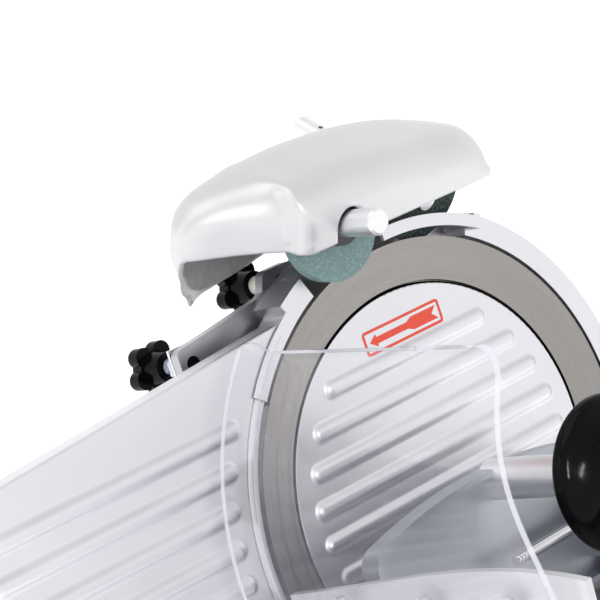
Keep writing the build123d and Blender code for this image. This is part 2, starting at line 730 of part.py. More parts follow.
def make_carrier():
    tube = rod(10, 44.3, 67.7, *PUSHER_ROD) - rod(PUSHER_ROD_RADIUS + FIT, 40, 70, *PUSHER_ROD)
    return lean(tube)


def make_pusher_plate():
    bottom = -79.0
    left, right = (PUSHER_LEFT, PUSHER_SHOULDER), (PUSHER_RIGHT, PUSHER_SHOULDER)
    edges = ThreePointArc(left, ((PUSHER_LEFT + PUSHER_RIGHT) / 2, PUSHER_CREST), right)
    edges += Polyline(right, (PUSHER_RIGHT, bottom), (PUSHER_LEFT, bottom), left)
    outline = fillet(make_face(edges).vertices(), 12.0)
    plate = slab(outline, PUSHER_BACK, PUSHER_FRONT)
    plate = fillet(plate.faces().sort_by(Axis.Z)[0].edges(), 2.0)
    plate -= slab(offset(outline, -3.5), PUSHER_FLOOR, PUSHER_FRONT + 1)
    # Teeth that hold the food
    for row in range(4):
        for column in range(7):
            place = (-80 + 20 * column, -64 + 16 * row)
            plate += Pos(*place, PUSHER_BACK - 7) * Cone(0.5, 2.4, 7.2, align=LOW)
    return plate - rod(STEM_RADIUS, PUSHER_FLOOR, 90, *STEM)


def make_pusher_hinge():
    """Two knuckles on the rod, with the web that carries them and the end of the brace."""
    x, y = PUSHER_ROD
    web = block(52, 80, -69, -55, PUSHER_FLOOR, 85)
    web += block(52, 62, -69, -37, PUSHER_FLOOR, 47)
    web -= rod(10.5, 44, 68, x, y)
    hinge = web + rod(10, 27, 44, x, y) + rod(10, 68, 85, x, y)
    hinge -= rod(PUSHER_ROD_RADIUS + FIT, 20, 90, x, y)
    hinge -= cross_rod(3.2, 40, 62, *PUSHER_BRACE_AT)
    return lean(hinge - make_pusher_plate())


def make_brace():
    bar = cross_rod(3.2, -6, 62, *PUSHER_BRACE_AT)
    tip = cross_rod(2.3, -14, -6, *PUSHER_BRACE_AT)
    return lean(bar + tip)


def make_stem():
    return lean(rod(STEM_RADIUS, PUSHER_FLOOR, HANDLE_START, *STEM))


def make_handle():
    rim = FLANGE_RADIUS
    edge = ThreePointArc((rim - 3, 0), (rim - 0.9, 0.9), (rim, 3))
    bell = Spline((rim, 3), (rim - 6, 10), (20.5, 20), (17.4, 36), (20.5, 67), (17, 89), (0, 99),
                  tangents=[(0, 1), (-1, 0)])
    handle = revolve(Plane.XZ * make_face(edge + bell + Polyline((0, 99), (0, 0), (rim - 3, 0))), Axis.Z)
    return lean(Pos(*STEM, HANDLE_START) * handle)


def front_stone_plane():
    tilt = math.radians(FRONT_STONE_TILT)
    return Plane(origin=FRONT_STONE_AT, x_dir=(1, 0, 0), z_dir=(0, -math.sin(tilt), math.cos(tilt)))


def rear_stone_plane():
    tilt = math.radians(REAR_STONE_TILT)
    return Plane(origin=REAR_STONE_AT, x_dir=(1, 0, 0), z_dir=(0, math.sin(tilt), -math.cos(tilt)))


def make_front_stone():
    stone = rod(FRONT_STONE_RADIUS, -7, 0) - rod(4.0 + FIT, -8, 1)
    stone = fillet(stone.edges().sort_by(Axis.Z)[-1], 0.8)
    return lean(front_stone_plane().location * stone)


def make_rear_stone():
    stone = rod(REAR_STONE_RADIUS, 0, 8) - rod(4.0 + FIT, -1, 9)
    return lean(rear_stone_plane().location * stone)


def make_front_pin():
    pin = turned(
        [
            (0, -9.6), (6.5, -9.6), (6.5, -7.4), (4, -7.4), (4, 0.4), (FRONT_PIN_RADIUS, 0.4),
            (FRONT_PIN_RADIUS, 34), (FRONT_PIN_RADIUS - 1.2, 35.2), (0, 35.2),
        ]
    )
    return lean(front_stone_plane().location * pin)


def make_rear_pin():
    pin = turned(
        [
            (0, -2.6), (5.5, -2.6), (5.5, -0.4), (4, -0.4), (4, 8.4), (REAR_PIN_RADIUS, 8.4),
            (REAR_PIN_RADIUS, REAR_PIN_LENGTH - 1.2), (REAR_PIN_RADIUS - 1.2, REAR_PIN_LENGTH),
            (0, REAR_PIN_LENGTH),
        ]
    )
    pin -= Pos(0, 0, REAR_PIN_HOLE_AT) * Rot(90, 0, 0) * Cylinder(1.3, 3 * REAR_PIN_RADIUS)
    return lean(rear_stone_plane().location * pin)


# Hood sections: place along X, front wall, back wall, top, rounding of the front and back corners,
# and how far the section leans, with its foot drawn in
HOOD_RIGHT_LOBE = [
    (-66.5, 43.5, 108.0, 169.6, (20.0, 20.0), (18.0, 18.0), 0.0),
    (-10.0, 43.5, 108.0, 168.0, (20.0, 20.0), (18.0, 18.0), 0.0),
    (35.0, 43.5, 108.0, 161.0, (20.0, 18.0), (18.0, 16.0), 0.0),
    (71.0, 43.5, 108.0, 149.5, (32.0, 15.0), (26.0, 13.0), 0.0),
]
HOOD_LEFT_LOBE = [
    (-109.0, 83.5, 90.5, 149.5, (3.4, 3.4), (3.4, 3.4), 12.0),
    (-106.5, 80.8, 94.0, 153.6, (6.2, 6.2), (6.2, 6.2), 11.6),
    (-101.0, 77.0, 98.5, 158.8, (9.5, 9.5), (9.5, 9.5), 10.4),
    (-84.0, 66.5, 106.0, 166.0, (17.0, 17.0), (17.0, 17.0), 5.6),
    (-66.5, 54.0, 108.0, 169.6, (20.0, 20.0), (18.0, 18.0), 0.0),
]


def hood_section(x, front, back, top, near, far, tilt, inset):
    turn = math.radians(tilt)
    sine, cosine = math.sin(turn), math.cos(turn)
    across = Plane(
        origin=(x + top * sine, 0, top * (1 - cosine)), x_dir=(0, 1, 0), z_dir=(cosine, 0, sine)
    )
    front += inset
    back -= inset
    top -= inset
    near = (near[0] - inset, near[1] - inset)
    far = (far[0] - inset, far[1] - inset)
    low = 60.0
    edges = Line((front, low), (front, top - near[1]))
    edges += EllipticalCenterArc((front + near[0], top - near[1]), near[0], near[1], 90, arc_size=90)
    edges += Line((front + near[0], top), (back - far[0], top))
    edges += EllipticalCenterArc((back - far[0], top - far[1]), far[0], far[1], 0, arc_size=90)
    edges += Line((back, top - far[1]), (back, low))
    edges += Line((back, low), (front, low))
    return across * make_face(edges)


def hood_form(inset):
    """Two lobes lofted along X, drawn in by the wall for the hollow."""
    first, *middle, last = HOOD_RIGHT_LOBE
    fold, end = first[0] + inset, last[0] - inset
    front, back = first[1] + inset, first[2]
    sections = [(fold, *first[1:]), *middle, (end, *last[1:])]
    corners = [(end, back), (end, front), (fold, front), (fold, back)]
    corner = FilletPolyline(*corners, radius=[0, HOOD_FOLD - inset])
    plan = make_face(corner + Line((fold, back), (end, back)))
    right = loft([hood_section(*section, inset) for section in sections]) & slab(plan, 0, 300)
    if not inset:
        return right + loft([hood_section(*section, inset) for section in HOOD_LEFT_LOBE])
    hollow = [hood_section(*section, inset) for section in HOOD_LEFT_LOBE[1:]]
    return right + extrude(hollow[-1], amount=inset) + loft(hollow)


def make_hood():
    hood = hood_form(0.0) - hood_form(HOOD_WALL)
    # Rim: level in front, falling along the left end, rising along the back
    back_low, back_rise = 91.4, 0.21
    hood -= block(-200, 200, -50, 83, 0, HOOD_RIM)
    slope_points = [(82, HOOD_RIM), (83, HOOD_RIM), (107, back_low), (107, 0), (82, 0)]
    slope = make_face(Polyline(*slope_points, close=True))
    hood -= side_slab(slope, -200, -80)
    rim_right, rim_left = back_low + back_rise * 286, back_low - back_rise * 114
    lower = make_face(Polyline((-200, 0), (200, 0), (200, rim_right), (-200, rim_left), close=True))
    hood -= Pos(0, 150, 0) * extrude(Plane.XZ * lower, amount=68)
    hood = Pos(0, 0, BLADE_CENTRE_HEIGHT) * hood
    # Arch over the front pin and hole for the rear pin
    arch = slab(Circle(8.2) + Pos(0, -20) * Rectangle(16.4, 40), 2, 50)
    hood -= lean(front_stone_plane().location * arch)
    hood -= lean(rear_stone_plane().location * rod(REAR_PIN_RADIUS + 1.5, 30, 90))
    return hood


def make_sharpener_frame():
    x, y = SHARPENER_KNOB_AT
    outline = Polyline(
        (47.7, 134), (99.6, 107.5), (104.8, 117.5), (104.8, 148.5), (100.1, 158.8), (90, 163.2),
        (63.5, 163.2), (51.9, 158.2), (46.8, 146.5), close=True,
    )
    web = Pos(0, 0, BLADE_CENTRE_HEIGHT) * side_slab(make_face(outline), -1.5, 3.5)
    arm = block(-36, 3.5, 142.5, 158, 14.9, 18.4)
    front = front_stone_plane().location
    rear = rear_stone_plane().location
    boss = front * rod(11, 3.4, 7.5)
    seat = rear * (rod(11, 14, 30) + block(-34.5, 2, -12, 12, 14, 18))
    frame = web + lean(arm + boss + seat)
    foot = block(x - 14, 3.5, 116, 152, -40, -34.3)
    foot -= block(x - 4.3, x + 4.3, 110, y, -45, -30)
    foot -= rod(4.3, -45, -30, x, y)
    frame += lean(foot)
    frame -= lean(front * rod(FRONT_PIN_RADIUS + FIT, -1, 40))
    frame -= lean(rear * rod(REAR_PIN_RADIUS + FIT, 9, 80))
    return frame


def make_bezel():
    plate = block(BASE_LEFT - 3, BASE_LEFT, 4, 56, 27, 53)
    plate = fillet(plate.edges().filter_by(Axis.X), 5.0)
    for y in (18.0, 42.0):
        plate -= cross_rod(8.2, BASE_LEFT - 5, BASE_LEFT + 2, y, 40)
    return plate


def make_button(y, reach):
    button = cross_rod(8.0, BASE_LEFT - reach, BASE_LEFT + 2, y, 40)
    button = fillet(button.edges().sort_by(Axis.X)[0], 1.2)
    return button + cross_rod(9.2, BASE_LEFT + 0.3, BASE_LEFT + 2.2, y, 40)


def make_switch():
    body = block(BASE_LEFT + BASE_WALL, BASE_LEFT + 30, 5, 55, 28, 52)
    return body - block(BASE_LEFT + 4, BASE_LEFT + 7, 8, 52, 30.5, 49.5)


def make_inlet():
    gland = turned([(4.2, -9), (7.9, -9), (7.9, 0), (11, 0), (11, 3), (9, 8), (4.2, 8)])
    return Pos(110, BASE_BACK, 38) * Rot(-90, 0, 0) * gland


NODES = {
    "base_casting": make_base,
    "bottom_plate": make_bottom_plate,
    "rubber_feet": make_feet,
    "foot_screws": make_foot_screws,
    "drive_housing": make_drive_housing,
    "rear_cover": make_rear_cover,
    "housing_screws": make_housing_screws,
    "motor_body": make_motor,
    "motor_shaft": make_motor_shaft,
    "motor_pulley": make_motor_pulley,
    "drive_belt": make_belt,
    "blade_pulley": make_blade_pulley,
    "shaft_bearings": make_bearings,
    "blade_hub": make_hub,
    "blade_screws": make_blade_screws,
    "blade": make_blade,
    "blade_cover": make_blade_cover,
    "cover_knob": make_cover_knob,
    "ring_guard": make_ring_guard,
    "stone_strap": make_stone_strap,
    "knob_bracket": make_knob_bracket,
    "knob_spacers": make_knob_spacers,
    "sharpener_knob": lambda: make_stud_knob(SHARPENER_KNOB_AT, SHARPENER_KNOB_SEAT),
    "deflector_knob": lambda: make_stud_knob(DEFLECTOR_KNOB_AT, DEFLECTOR_KNOB_SEAT),
    "slice_deflector": make_deflector,
    "gauge_plate": make_gauge_plate,
    "gauge_support": make_gauge_support,
    "gauge_slider": make_gauge_slider,
    "cam_follower": make_follower,
    "gauge_guide_rods": make_guide_rods,
    "index_cam": make_cam,
    "dial_shaft": make_dial_shaft,
    "index_dial": make_dial,
    "slide_rod": make_slide_rod,
    "guide_bar": make_guide_bar,
    "slide_block": make_slide_block,
    "slide_bushes": make_bushes,
    "carriage_arm": make_carriage_arm,
    "carriage_knob": make_carriage_knob,
    "carriage_tray": make_tray,
    "clear_guard": make_guard,
    "guard_screws": make_guard_screws,
    "pusher_rod": make_pusher_rod,
    "pusher_carrier": make_carrier,
    "pusher_plate": lambda: lean(make_pusher_plate()),
    "pusher_hinge": make_pusher_hinge,
    "pusher_brace": make_brace,
    "pusher_stem": make_stem,
    "pusher_handle": make_handle,
    "sharpener_hood": make_hood,
    "sharpener_frame": make_sharpener_frame,
    "front_pin": make_front_pin,
    "front_stone": make_front_stone,
    "rear_pin": make_rear_pin,
    "rear_stone": make_rear_stone,
    "switch_bezel": make_bezel,
    "switch_body": make_switch,
    "start_button": lambda: make_button(18.0, 6.0),
    "stop_button": lambda: make_button(42.0, 9.0),
    "cord_inlet": make_inlet,
}


def main():
    os.makedirs("parts", exist_ok=True)
    place = Pos(CENTRE_X, CENTRE_Y, 0)
    for name, maker in NODES.items():
        made = maker()
        solids = made if isinstance(made, list) else made.solids()
        placed = [place * solid for piece in solids for solid in piece.solids()]
        shape = placed[0] if len(placed) == 1 else Compound(children=placed)
        export_step(shape, f"parts/{name}.step")


if __name__ == "__main__":
    main()
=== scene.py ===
import json
import math

import bmesh
import bpy
from mathutils import Euler, Matrix, Vector


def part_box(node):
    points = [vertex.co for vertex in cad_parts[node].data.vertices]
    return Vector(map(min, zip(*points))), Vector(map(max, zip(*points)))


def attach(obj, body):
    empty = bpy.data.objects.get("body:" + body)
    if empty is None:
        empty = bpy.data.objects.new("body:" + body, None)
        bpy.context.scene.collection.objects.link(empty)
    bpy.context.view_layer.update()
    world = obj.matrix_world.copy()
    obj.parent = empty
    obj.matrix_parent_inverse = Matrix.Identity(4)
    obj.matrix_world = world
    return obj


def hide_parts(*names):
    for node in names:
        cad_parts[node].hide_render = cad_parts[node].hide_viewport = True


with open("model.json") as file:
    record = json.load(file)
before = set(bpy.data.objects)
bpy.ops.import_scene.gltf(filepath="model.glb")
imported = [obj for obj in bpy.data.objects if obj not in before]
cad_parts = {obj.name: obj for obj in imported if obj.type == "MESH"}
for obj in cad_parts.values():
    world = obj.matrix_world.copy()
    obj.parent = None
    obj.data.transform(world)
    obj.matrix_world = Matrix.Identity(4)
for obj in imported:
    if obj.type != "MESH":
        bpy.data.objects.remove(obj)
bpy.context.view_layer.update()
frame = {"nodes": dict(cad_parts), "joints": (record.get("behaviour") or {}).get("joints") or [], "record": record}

bl_info = {
    "name": "Food slicer dressing",
    "version": (1, 0, 0),
    "blender": (4, 5, 0),
    "location": "View3D > Sidebar > Slicer",
    "description": "Finishes, marks and small fittings of an inclined food slicer, and its studio",
    "category": "Object",
}

JOINTS = {joint["name"]: joint for joint in frame["joints"]}
MM = 0.001
QUARTER = math.pi / 2
# Distances at which points merge, in a new piece and in a copied solid, or count as level or as near
MERGE = 0.001 * MM
SOLID_MERGE = 0.005 * MM
LEVEL = 0.01 * MM
NEAR = 0.1 * MM
# Angles in degrees past which an edge is bevelled, and past which its shading stays sharp
BEVEL_ANGLE = 40.0
SHARP_ANGLE = 35.0


def axis_frame(joint, across):
    """Matrix at a joint's place with z along its axis and x as near as can be to a direction."""
    z = Vector(joint["axis"]).normalized()
    x = (Vector(across) - z * z.dot(Vector(across))).normalized()
    y = z.cross(x)
    turn = Matrix((x, y, z)).transposed().to_4x4()
    return Matrix.Translation(joint["pos_m"]) @ turn


def shift(x, y, z):
    """Matrix of a move in mm."""
    return Matrix.Translation((x * MM, y * MM, z * MM))


def spin(degrees, axis="Z"):
    """Matrix of a turn about an axis."""
    return Matrix.Rotation(math.radians(degrees), 4, axis)


BLADE = axis_frame(JOINTS["blade_spin"], (1, 0, 0))
FRONT_PIN = axis_frame(JOINTS["front_stone_spin"], (1, 0, 0))
REAR_PIN = axis_frame(JOINTS["rear_stone_spin"], (1, 0, 0))
SHARPENER_KNOB = axis_frame(JOINTS["sharpener_knob_turn"], (1, 0, 0))
DEFLECTOR_KNOB = axis_frame(JOINTS["deflector_knob_turn"], (1, 0, 0))
DIAL = axis_frame(JOINTS["dial_turn"], (0, 0, 1)) @ spin(180.0, "X")


# Sizes and colours

def measure(name, description, size):
    """Length property with its default in mm."""
    return bpy.props.FloatProperty(name=name, description=description, default=size * MM, unit="LENGTH")


def tone(name, description, colour):
    """Colour property with a linear default."""
    return bpy.props.FloatVectorProperty(
        name=name, description=description, default=colour, size=3, min=0.0, max=1.0, subtype="COLOR"
    )


class SlicerSizes(bpy.types.PropertyGroup):
    """Sizes of the pieces that the dressing adds."""

    label_length: measure("Label length", "Length of the arrow label", 56.5)
    label_height: measure("Label height", "Height of the arrow label", 13.0)
    label_line: measure("Label line", "Width of the label's border", 1.5)
    label_film: measure("Label film", "Thickness of the printed film", 0.12)
    thread_pitch: measure("Thread pitch", "Rise of the stud threads per turn", 1.25)
    figure_height: measure("Figure height", "Height of the dial's figures", 3.4)
    figure_turn: bpy.props.FloatProperty(
        name="Figure turn", description="Turn of the dial per millimetre of slice",
        default=math.radians(25.0), subtype="ANGLE"
    )
    hood_grain: measure("Hood grain", "Size of the cells that the hood's skin is rebuilt in", 0.95)
    floor_width: measure("Floor width", "Width of the studio floor", 9000.0)


class SlicerColours(bpy.types.PropertyGroup):
    """Colours of the finishes."""

    cast: tone("Cast", "Satin cast aluminium", (0.80, 0.795, 0.83))
    shell: tone("Shell", "Smooth sharpener hood", (0.715, 0.715, 0.73))
    blade: tone("Blade", "Ground blade steel", (0.335, 0.318, 0.305))
    steel: tone("Steel", "Polished steel", (0.78, 0.78, 0.80))
    bright: tone("Bright", "Bright turned steel", (0.93, 0.93, 0.94))
    zinc: tone("Zinc", "Zinc plated steel", (0.62, 0.67, 0.76))
    # Painted reflection: the pusher plate's darker cast colour stands for the dark surroundings it reflects
    pusher: tone("Pusher", "Cast pusher plate", (0.47, 0.495, 0.53))
    plastic: tone("Plastic", "Black moulded plastic", (0.003, 0.003, 0.0035))
    sleeve: tone("Sleeve", "Cream spacer sleeves", (0.80, 0.76, 0.68))
    rubber: tone("Rubber", "Black rubber", (0.022, 0.022, 0.023))
    front_grit: tone("Front grit", "Grinding stone", (0.190, 0.290, 0.289))
    front_grains: tone("Front grains", "Pale grains of that stone", (0.31, 0.42, 0.41))
    # Painted shade: the rear stone's near-black grit and darkened grains stand for the shadow it lies in behind
    # the blade
    rear_grit: tone("Rear grit", "Honing stone", (0.016, 0.030, 0.026))
    rear_grains: tone("Rear grains", "Pale grains of that stone", (0.10, 0.15, 0.13))
    clear: tone("Clear", "Clear guard", (0.84, 0.825, 0.91))
    motor: tone("Motor", "Motor paint", (0.045, 0.050, 0.060))
    bronze: tone("Bronze", "Sintered bronze", (0.42, 0.26, 0.10))
    start: tone("Start", "Start button", (0.02, 0.22, 0.05))
    stop: tone("Stop", "Stop button", (0.45, 0.015, 0.012))
    label: tone("Label", "Label print", (0.86, 0.080, 0.040))
    mark: tone("Mark", "White marks", (0.82, 0.82, 0.80))
    # Painted shadow: the dark line round the blade cover's rim stands for the shade in its gap to the blade
    seam: tone("Seam", "Dark seam round the blade cover", (0.012, 0.012, 0.013))
    floor: tone("Floor", "Studio floor", (0.93, 0.93, 0.93))


# Modelling

def deselect():
    """Leave edit mode and clear the selection, because operators act on all that is selected."""
    if bpy.context.object and bpy.context.object.mode != "OBJECT":
        bpy.ops.object.mode_set(mode="OBJECT")
    bpy.ops.object.select_all(action="DESELECT")


def hold(piece):
    """Make one piece the selected and active one."""
    deselect()
    piece.select_set(True)
    bpy.context.view_layer.objects.active = piece


def named(name):
    """Name the piece that an operator has just added."""
    piece = bpy.context.object
    piece.name = name
    piece.data.name = name
    return piece


def settle(piece, place):
    """Move a piece to its place, and that place into its mesh."""
    hold(piece)
    piece.matrix_world = place @ piece.matrix_world
    bpy.ops.object.transform_apply(location=True, rotation=True, scale=True)
    return piece


def edit(piece):
    """Open a piece for mesh editing, with all of it selected."""
    hold(piece)
    bpy.ops.object.mode_set(mode="EDIT")
    bpy.ops.mesh.select_all(action="SELECT")


def pick(piece, kind, test):
    """In edit mode, select the faces, edges or vertices whose middle passes a test."""
    mode = {"verts": "VERT", "edges": "EDGE", "faces": "FACE"}[kind]
    bpy.ops.mesh.select_all(action="DESELECT")
    bpy.ops.mesh.select_mode(type=mode)
    shape = bmesh.from_edit_mesh(piece.data)
    for part in getattr(shape, kind):
        corners = [part] if kind == "verts" else list(part.verts)
        middle = sum((corner.co for corner in corners), Vector()) / len(corners)
        part.select_set(bool(test(middle)))
    shape.select_flush_mode()
    bmesh.update_edit_mesh(piece.data)


def push(step):
    """Extrude what is selected by a step."""
    bpy.ops.mesh.extrude_region_move(TRANSFORM_OT_translate={"value": step})


def close():
    """End mesh editing with the faces pointing outwards."""
    bpy.ops.mesh.select_all(action="SELECT")
    bpy.ops.mesh.remove_doubles(threshold=MERGE)
    bpy.ops.mesh.normals_make_consistent(inside=False)
    bpy.ops.object.mode_set(mode="OBJECT")


def apply_modifier(piece, kind, **values):
    """Add a modifier with its values and apply it."""
    hold(piece)
    modifier = piece.modifiers.new(kind.title(), kind)
    for name, value in values.items():
        setattr(modifier, name, value)
    bpy.ops.object.modifier_apply(modifier=modifier.name)


def repeat(piece, places):
    """A piece at the first of some places, and copies with meshes of their own at the others."""
    pieces = [piece]
    while len(pieces) < len(places):
        hold(piece)
        bpy.ops.object.duplicate()
        pieces.append(bpy.context.object)
    return [settle(copy, place) for copy, place in zip(pieces, places)]


def join(pieces, name):
    """Join pieces into the first one."""
    deselect()
    for piece in pieces:
        piece.select_set(True)
    bpy.context.view_layer.objects.active = pieces[0]
    if len(pieces) > 1:
        bpy.ops.object.join()
    return named(name)


def dress(piece, finish, body, stands_for=()):
    """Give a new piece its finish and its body."""
    piece.data.materials.clear()
    piece.data.materials.append(FINISHES[finish])
    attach(piece, body)
    if stands_for:
        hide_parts(*stands_for)


def copy_solid(node, name):
    """New piece from a merged copy of a solid."""
    deselect()
    solid = frame["nodes"][node]
    piece = bpy.data.objects.new(name, solid.data.copy())
    bpy.context.scene.collection.objects.link(piece)
    edit(piece)
    bpy.ops.mesh.remove_doubles(threshold=SOLID_MERGE)
    bpy.ops.object.mode_set(mode="OBJECT")
    return named(name)


def ease(value, start, end):
    """Soft rise from nought at a start to one at an end, which may be the lower."""
    share = min(1.0, max(0.0, (value - start) / (end - start)))
    return share * share * (3.0 - 2.0 * share)


def smooth(piece, angle=SHARP_ANGLE):
    """Round the shading, except across sharp corners."""
    hold(piece)
    bpy.ops.object.shade_smooth_by_angle(angle=math.radians(angle))
    return piece


def soften(piece, width):
    """Break the sharp edges of a piece."""
    apply_modifier(piece, "BEVEL", width=width, segments=2, limit_method="ANGLE",
                   angle_limit=math.radians(BEVEL_ANGLE))
    return smooth(piece)


def post(name, radius, low, high, vertices=64):
    """Upright cylinder between two heights, as a start; sizes in mm."""
    deselect()
    bpy.ops.mesh.primitive_cylinder_add(
        vertices=vertices, radius=radius * MM, depth=(high - low) * MM,
        location=(0, 0, (low + high) / 2 * MM)
    )
    piece = named(name)
    bpy.ops.object.transform_apply(location=True)
    return piece


def carve(piece, cutter):
    """Cut one piece out of another."""
    apply_modifier(piece, "BOOLEAN", operation="DIFFERENCE", solver="EXACT", object=cutter)
    bpy.data.objects.remove(cutter, do_unlink=True)
    return piece


def tube(name, outer, bore, low, high, vertices=64, rounding=0.4):
    """Ring or sleeve with broken edges; sizes in mm."""
    piece = carve(post(name, outer, low, high, vertices), post("bore", bore, low - 1, high + 1))
    return soften(piece, rounding * MM)


def bar(name, size, place=(0, 0, 0), rounding=0.05):
    """Small block with broken edges; sizes in mm."""
    deselect()
    bpy.ops.mesh.primitive_cube_add(size=1.0)
    piece = named(name)
    piece.scale = [value * MM for value in size]
    piece.location = [value * MM for value in place]
    bpy.ops.object.transform_apply(location=True, scale=True)
    return soften(piece, rounding * MM)


def card(name, length, height, place=(0, 0, 0), tilt=0.0):
    """Flat rectangle, tilted about x; sizes in metres."""
    deselect()
    bpy.ops.mesh.primitive_plane_add(size=1.0, rotation=(tilt, 0, 0))
    piece = named(name)
    piece.scale = (length, height, 1.0)
    piece.location = place
    bpy.ops.object.transform_apply(location=True, rotation=True, scale=True)
    return piece


def sweep(outline, sides, steps, **values):
    """Carry an outline with some sides round z, and close its ends."""
    apply_modifier(outline, "SCREW", axis="Z", steps=steps, render_steps=steps, **values)
    edit(outline)
    bpy.ops.mesh.fill_holes(sides=sides)
    close()


# Share of a screw head's height that its socket takes, and the rounding of its edge in mm
SOCKET_SHARE = 0.55
HEAD_ROUNDING = 0.7


def socket_screw(name, head, shank, socket):
    """Screw from a head (radius, low, high), a shank (radius, low) and a six-sided socket; in mm."""
    radius, low, high = head
    shank_radius, shank_low = shank
    piece = post(name, radius, low, high)
    edit(piece)
    pick(piece, "edges", lambda middle: abs(middle.z - high * MM) < LEVEL)
    bpy.ops.mesh.bevel(offset=HEAD_ROUNDING * MM, segments=4)
    pick(piece, "faces", lambda middle: abs(middle.z - low * MM) < LEVEL)
    bpy.ops.mesh.inset(thickness=(radius - shank_radius) * MM)
    push((0, 0, (shank_low - low) * MM))
    close()
    carve(piece, post("socket", socket, high - SOCKET_SHARE * (high - low), high + 1, 6))
    return smooth(piece)


# Finishes

# Share of the finer layers in a noise, and the span of most of its values
NOISE_ROUGHNESS = 0.6
NOISE_SPAN = (0.35, 0.65)
# Radii of the guard's wall and heights of its flange, in mm, and the skin left out of their edges
GUARD_WALL = (134.5, 138.5)
GUARD_FLANGE = (4.5, 8.5)
EDGE_SKIN = 0.55
# Reach of the painted highlight along the guard's foot inside, outside and above the wall's start, in mm
GUARD_FOOT = (0.7, 0.4, 0.6)
# Opacity of the guard: head-on, added by grazing and how steeply, by haze, and of its painted highlights at its
# foot and at its edges
FACE_MIRROR = 0.075
GRAZING_MIRROR = 0.8
GRAZING_POWER = 5.0
HAZE_SPAN = (0.4, 0.7)
MOST_HAZE = 0.02
FOOT_LIGHT = 0.4
EDGE_LIGHT = 0.62
# A point on the rim of the hood's left end, that rim's direction, and half of its band
HOOD_END_RIM = BLADE.translation + Vector((0, 83.0 * MM, 133.4 * MM))
HOOD_END_NORMAL = Vector((0, -42.0, -24.0)).normalized()
HOOD_RIM_SKIN = 1.6 * MM
# Radius outside which the blade cover's rim is painted dark, a painted shadow for its gap to the blade, in mm
COVER_SHADOW_RADIUS = 100.7
# How much the blade's grinding rings change along a turn
RING_DRIFT = 0.004
# Grains of the stones per metre, and the share of them that stays dark
GRAIN_SCALE = 1400.0
DARK_GRAINS = 0.72
# Stretches of a noise
ALONG_X = (0.04, 1.0, 1.0)
EVEN = (1.0, 1.0, 1.0)


def add_node(tree, kind, inputs=None, **settings):
    """Shader node with its input values and settings."""
    made = tree.nodes.new(kind)
    for name, value in settings.items():
        setattr(made, name, value)
    for name, value in (inputs or {}).items():
        made.inputs[name].default_value = value
    return made


def link(source, target):
    """Lead an output into an input."""
    target.id_data.links.new(source, target)


def start_finish(name, colour, metallic, roughness):
    """Material with a plain shader to build on."""
    material = bpy.data.materials.new(name)
    material.use_nodes = True
    shader = material.node_tree.nodes["Principled BSDF"]
    shader.inputs["Base Color"].default_value = (*colour, 1.0)
    shader.inputs["Metallic"].default_value = metallic
    shader.inputs["Roughness"].default_value = roughness
    return material, material.node_tree, shader


def shade(colour, share):
    """A darker or lighter version of a colour."""
    return tuple(min(1.0, value * share) for value in colour)


def spread(tree, scale, detail=3.0, stretch=EVEN, source=None):
    """Noise on object coordinates, optionally stretched along an axis."""
    if source is None:
        source = add_node(tree, "ShaderNodeTexCoord").outputs["Object"]
    mapping = add_node(tree, "ShaderNodeMapping", {"Scale": stretch})
    link(source, mapping.inputs["Vector"])
    noise = add_node(
        tree, "ShaderNodeTexNoise", {"Scale": scale, "Detail": detail, "Roughness": NOISE_ROUGHNESS}
    )
    link(mapping.outputs["Vector"], noise.inputs["Vector"])
    return noise.outputs["Fac"]


def remap(tree, factor, span, low=0.0, high=1.0):
    """Turn a span of a factor into a range of values; gives the output."""
    ranged = add_node(
        tree, "ShaderNodeMapRange",
        {"From Min": span[0], "From Max": span[1], "To Min": low, "To Max": high},
    )
    link(factor, ranged.inputs["Value"])
    return ranged.outputs["Result"]


def vary(tree, factor, target, low, high):
    """Turn a noise into a range of values for a socket."""
    link(remap(tree, factor, NOISE_SPAN, low, high), target)


def blend(tree, factor, first, second):
    """Blend two colours, each a tuple or an output; gives the output."""
    mix = add_node(tree, "ShaderNodeMix", data_type="RGBA")
    for side, colour in (("A", first), ("B", second)):
        if isinstance(colour, tuple):
            mix.inputs[side].default_value = (*colour, 1.0)
        else:
            link(colour, mix.inputs[side])
    link(factor, mix.inputs["Factor"])
    return mix.outputs["Result"]


def mottle(tree, factor, shader, colour, low, high):
    """Vary the shader's colour between a darker and a lighter share of it."""
    result = blend(tree, factor, shade(colour, low), shade(colour, high))
    link(result, shader.inputs["Base Color"])


def emboss(tree, height, shader, strength, distance):
    """Bump from a height."""
    bump = add_node(tree, "ShaderNodeBump", {"Strength": strength, "Distance": distance})
    link(height, bump.inputs["Height"])
    link(bump.outputs["Normal"], shader.inputs["Normal"])


def figure(tree, operation, first, second, third=None):
    """Math node on outputs or numbers; gives its output."""
    made = add_node(tree, "ShaderNodeMath", operation=operation)
    for index, value in enumerate((first, second, third)):
        if isinstance(value, (int, float)):
            made.inputs[index].default_value = value
        elif value is not None:
            link(value, made.inputs[index])
    return made.outputs["Value"]


def between(tree, value, low, high):
    """One inside a span, nought outside."""
    above = figure(tree, "GREATER_THAN", value, low)
    below = figure(tree, "LESS_THAN", value, high)
    return figure(tree, "MULTIPLY", above, below)


def dot(tree, first, second):
    """Dot product of an output with another, or with a fixed direction."""
    made = add_node(tree, "ShaderNodeVectorMath", operation="DOT_PRODUCT")
    link(first, made.inputs[0])
    if isinstance(second, Vector):
        made.inputs[1].default_value = second
    else:
        link(second, made.inputs[1])
    return made.outputs["Value"]


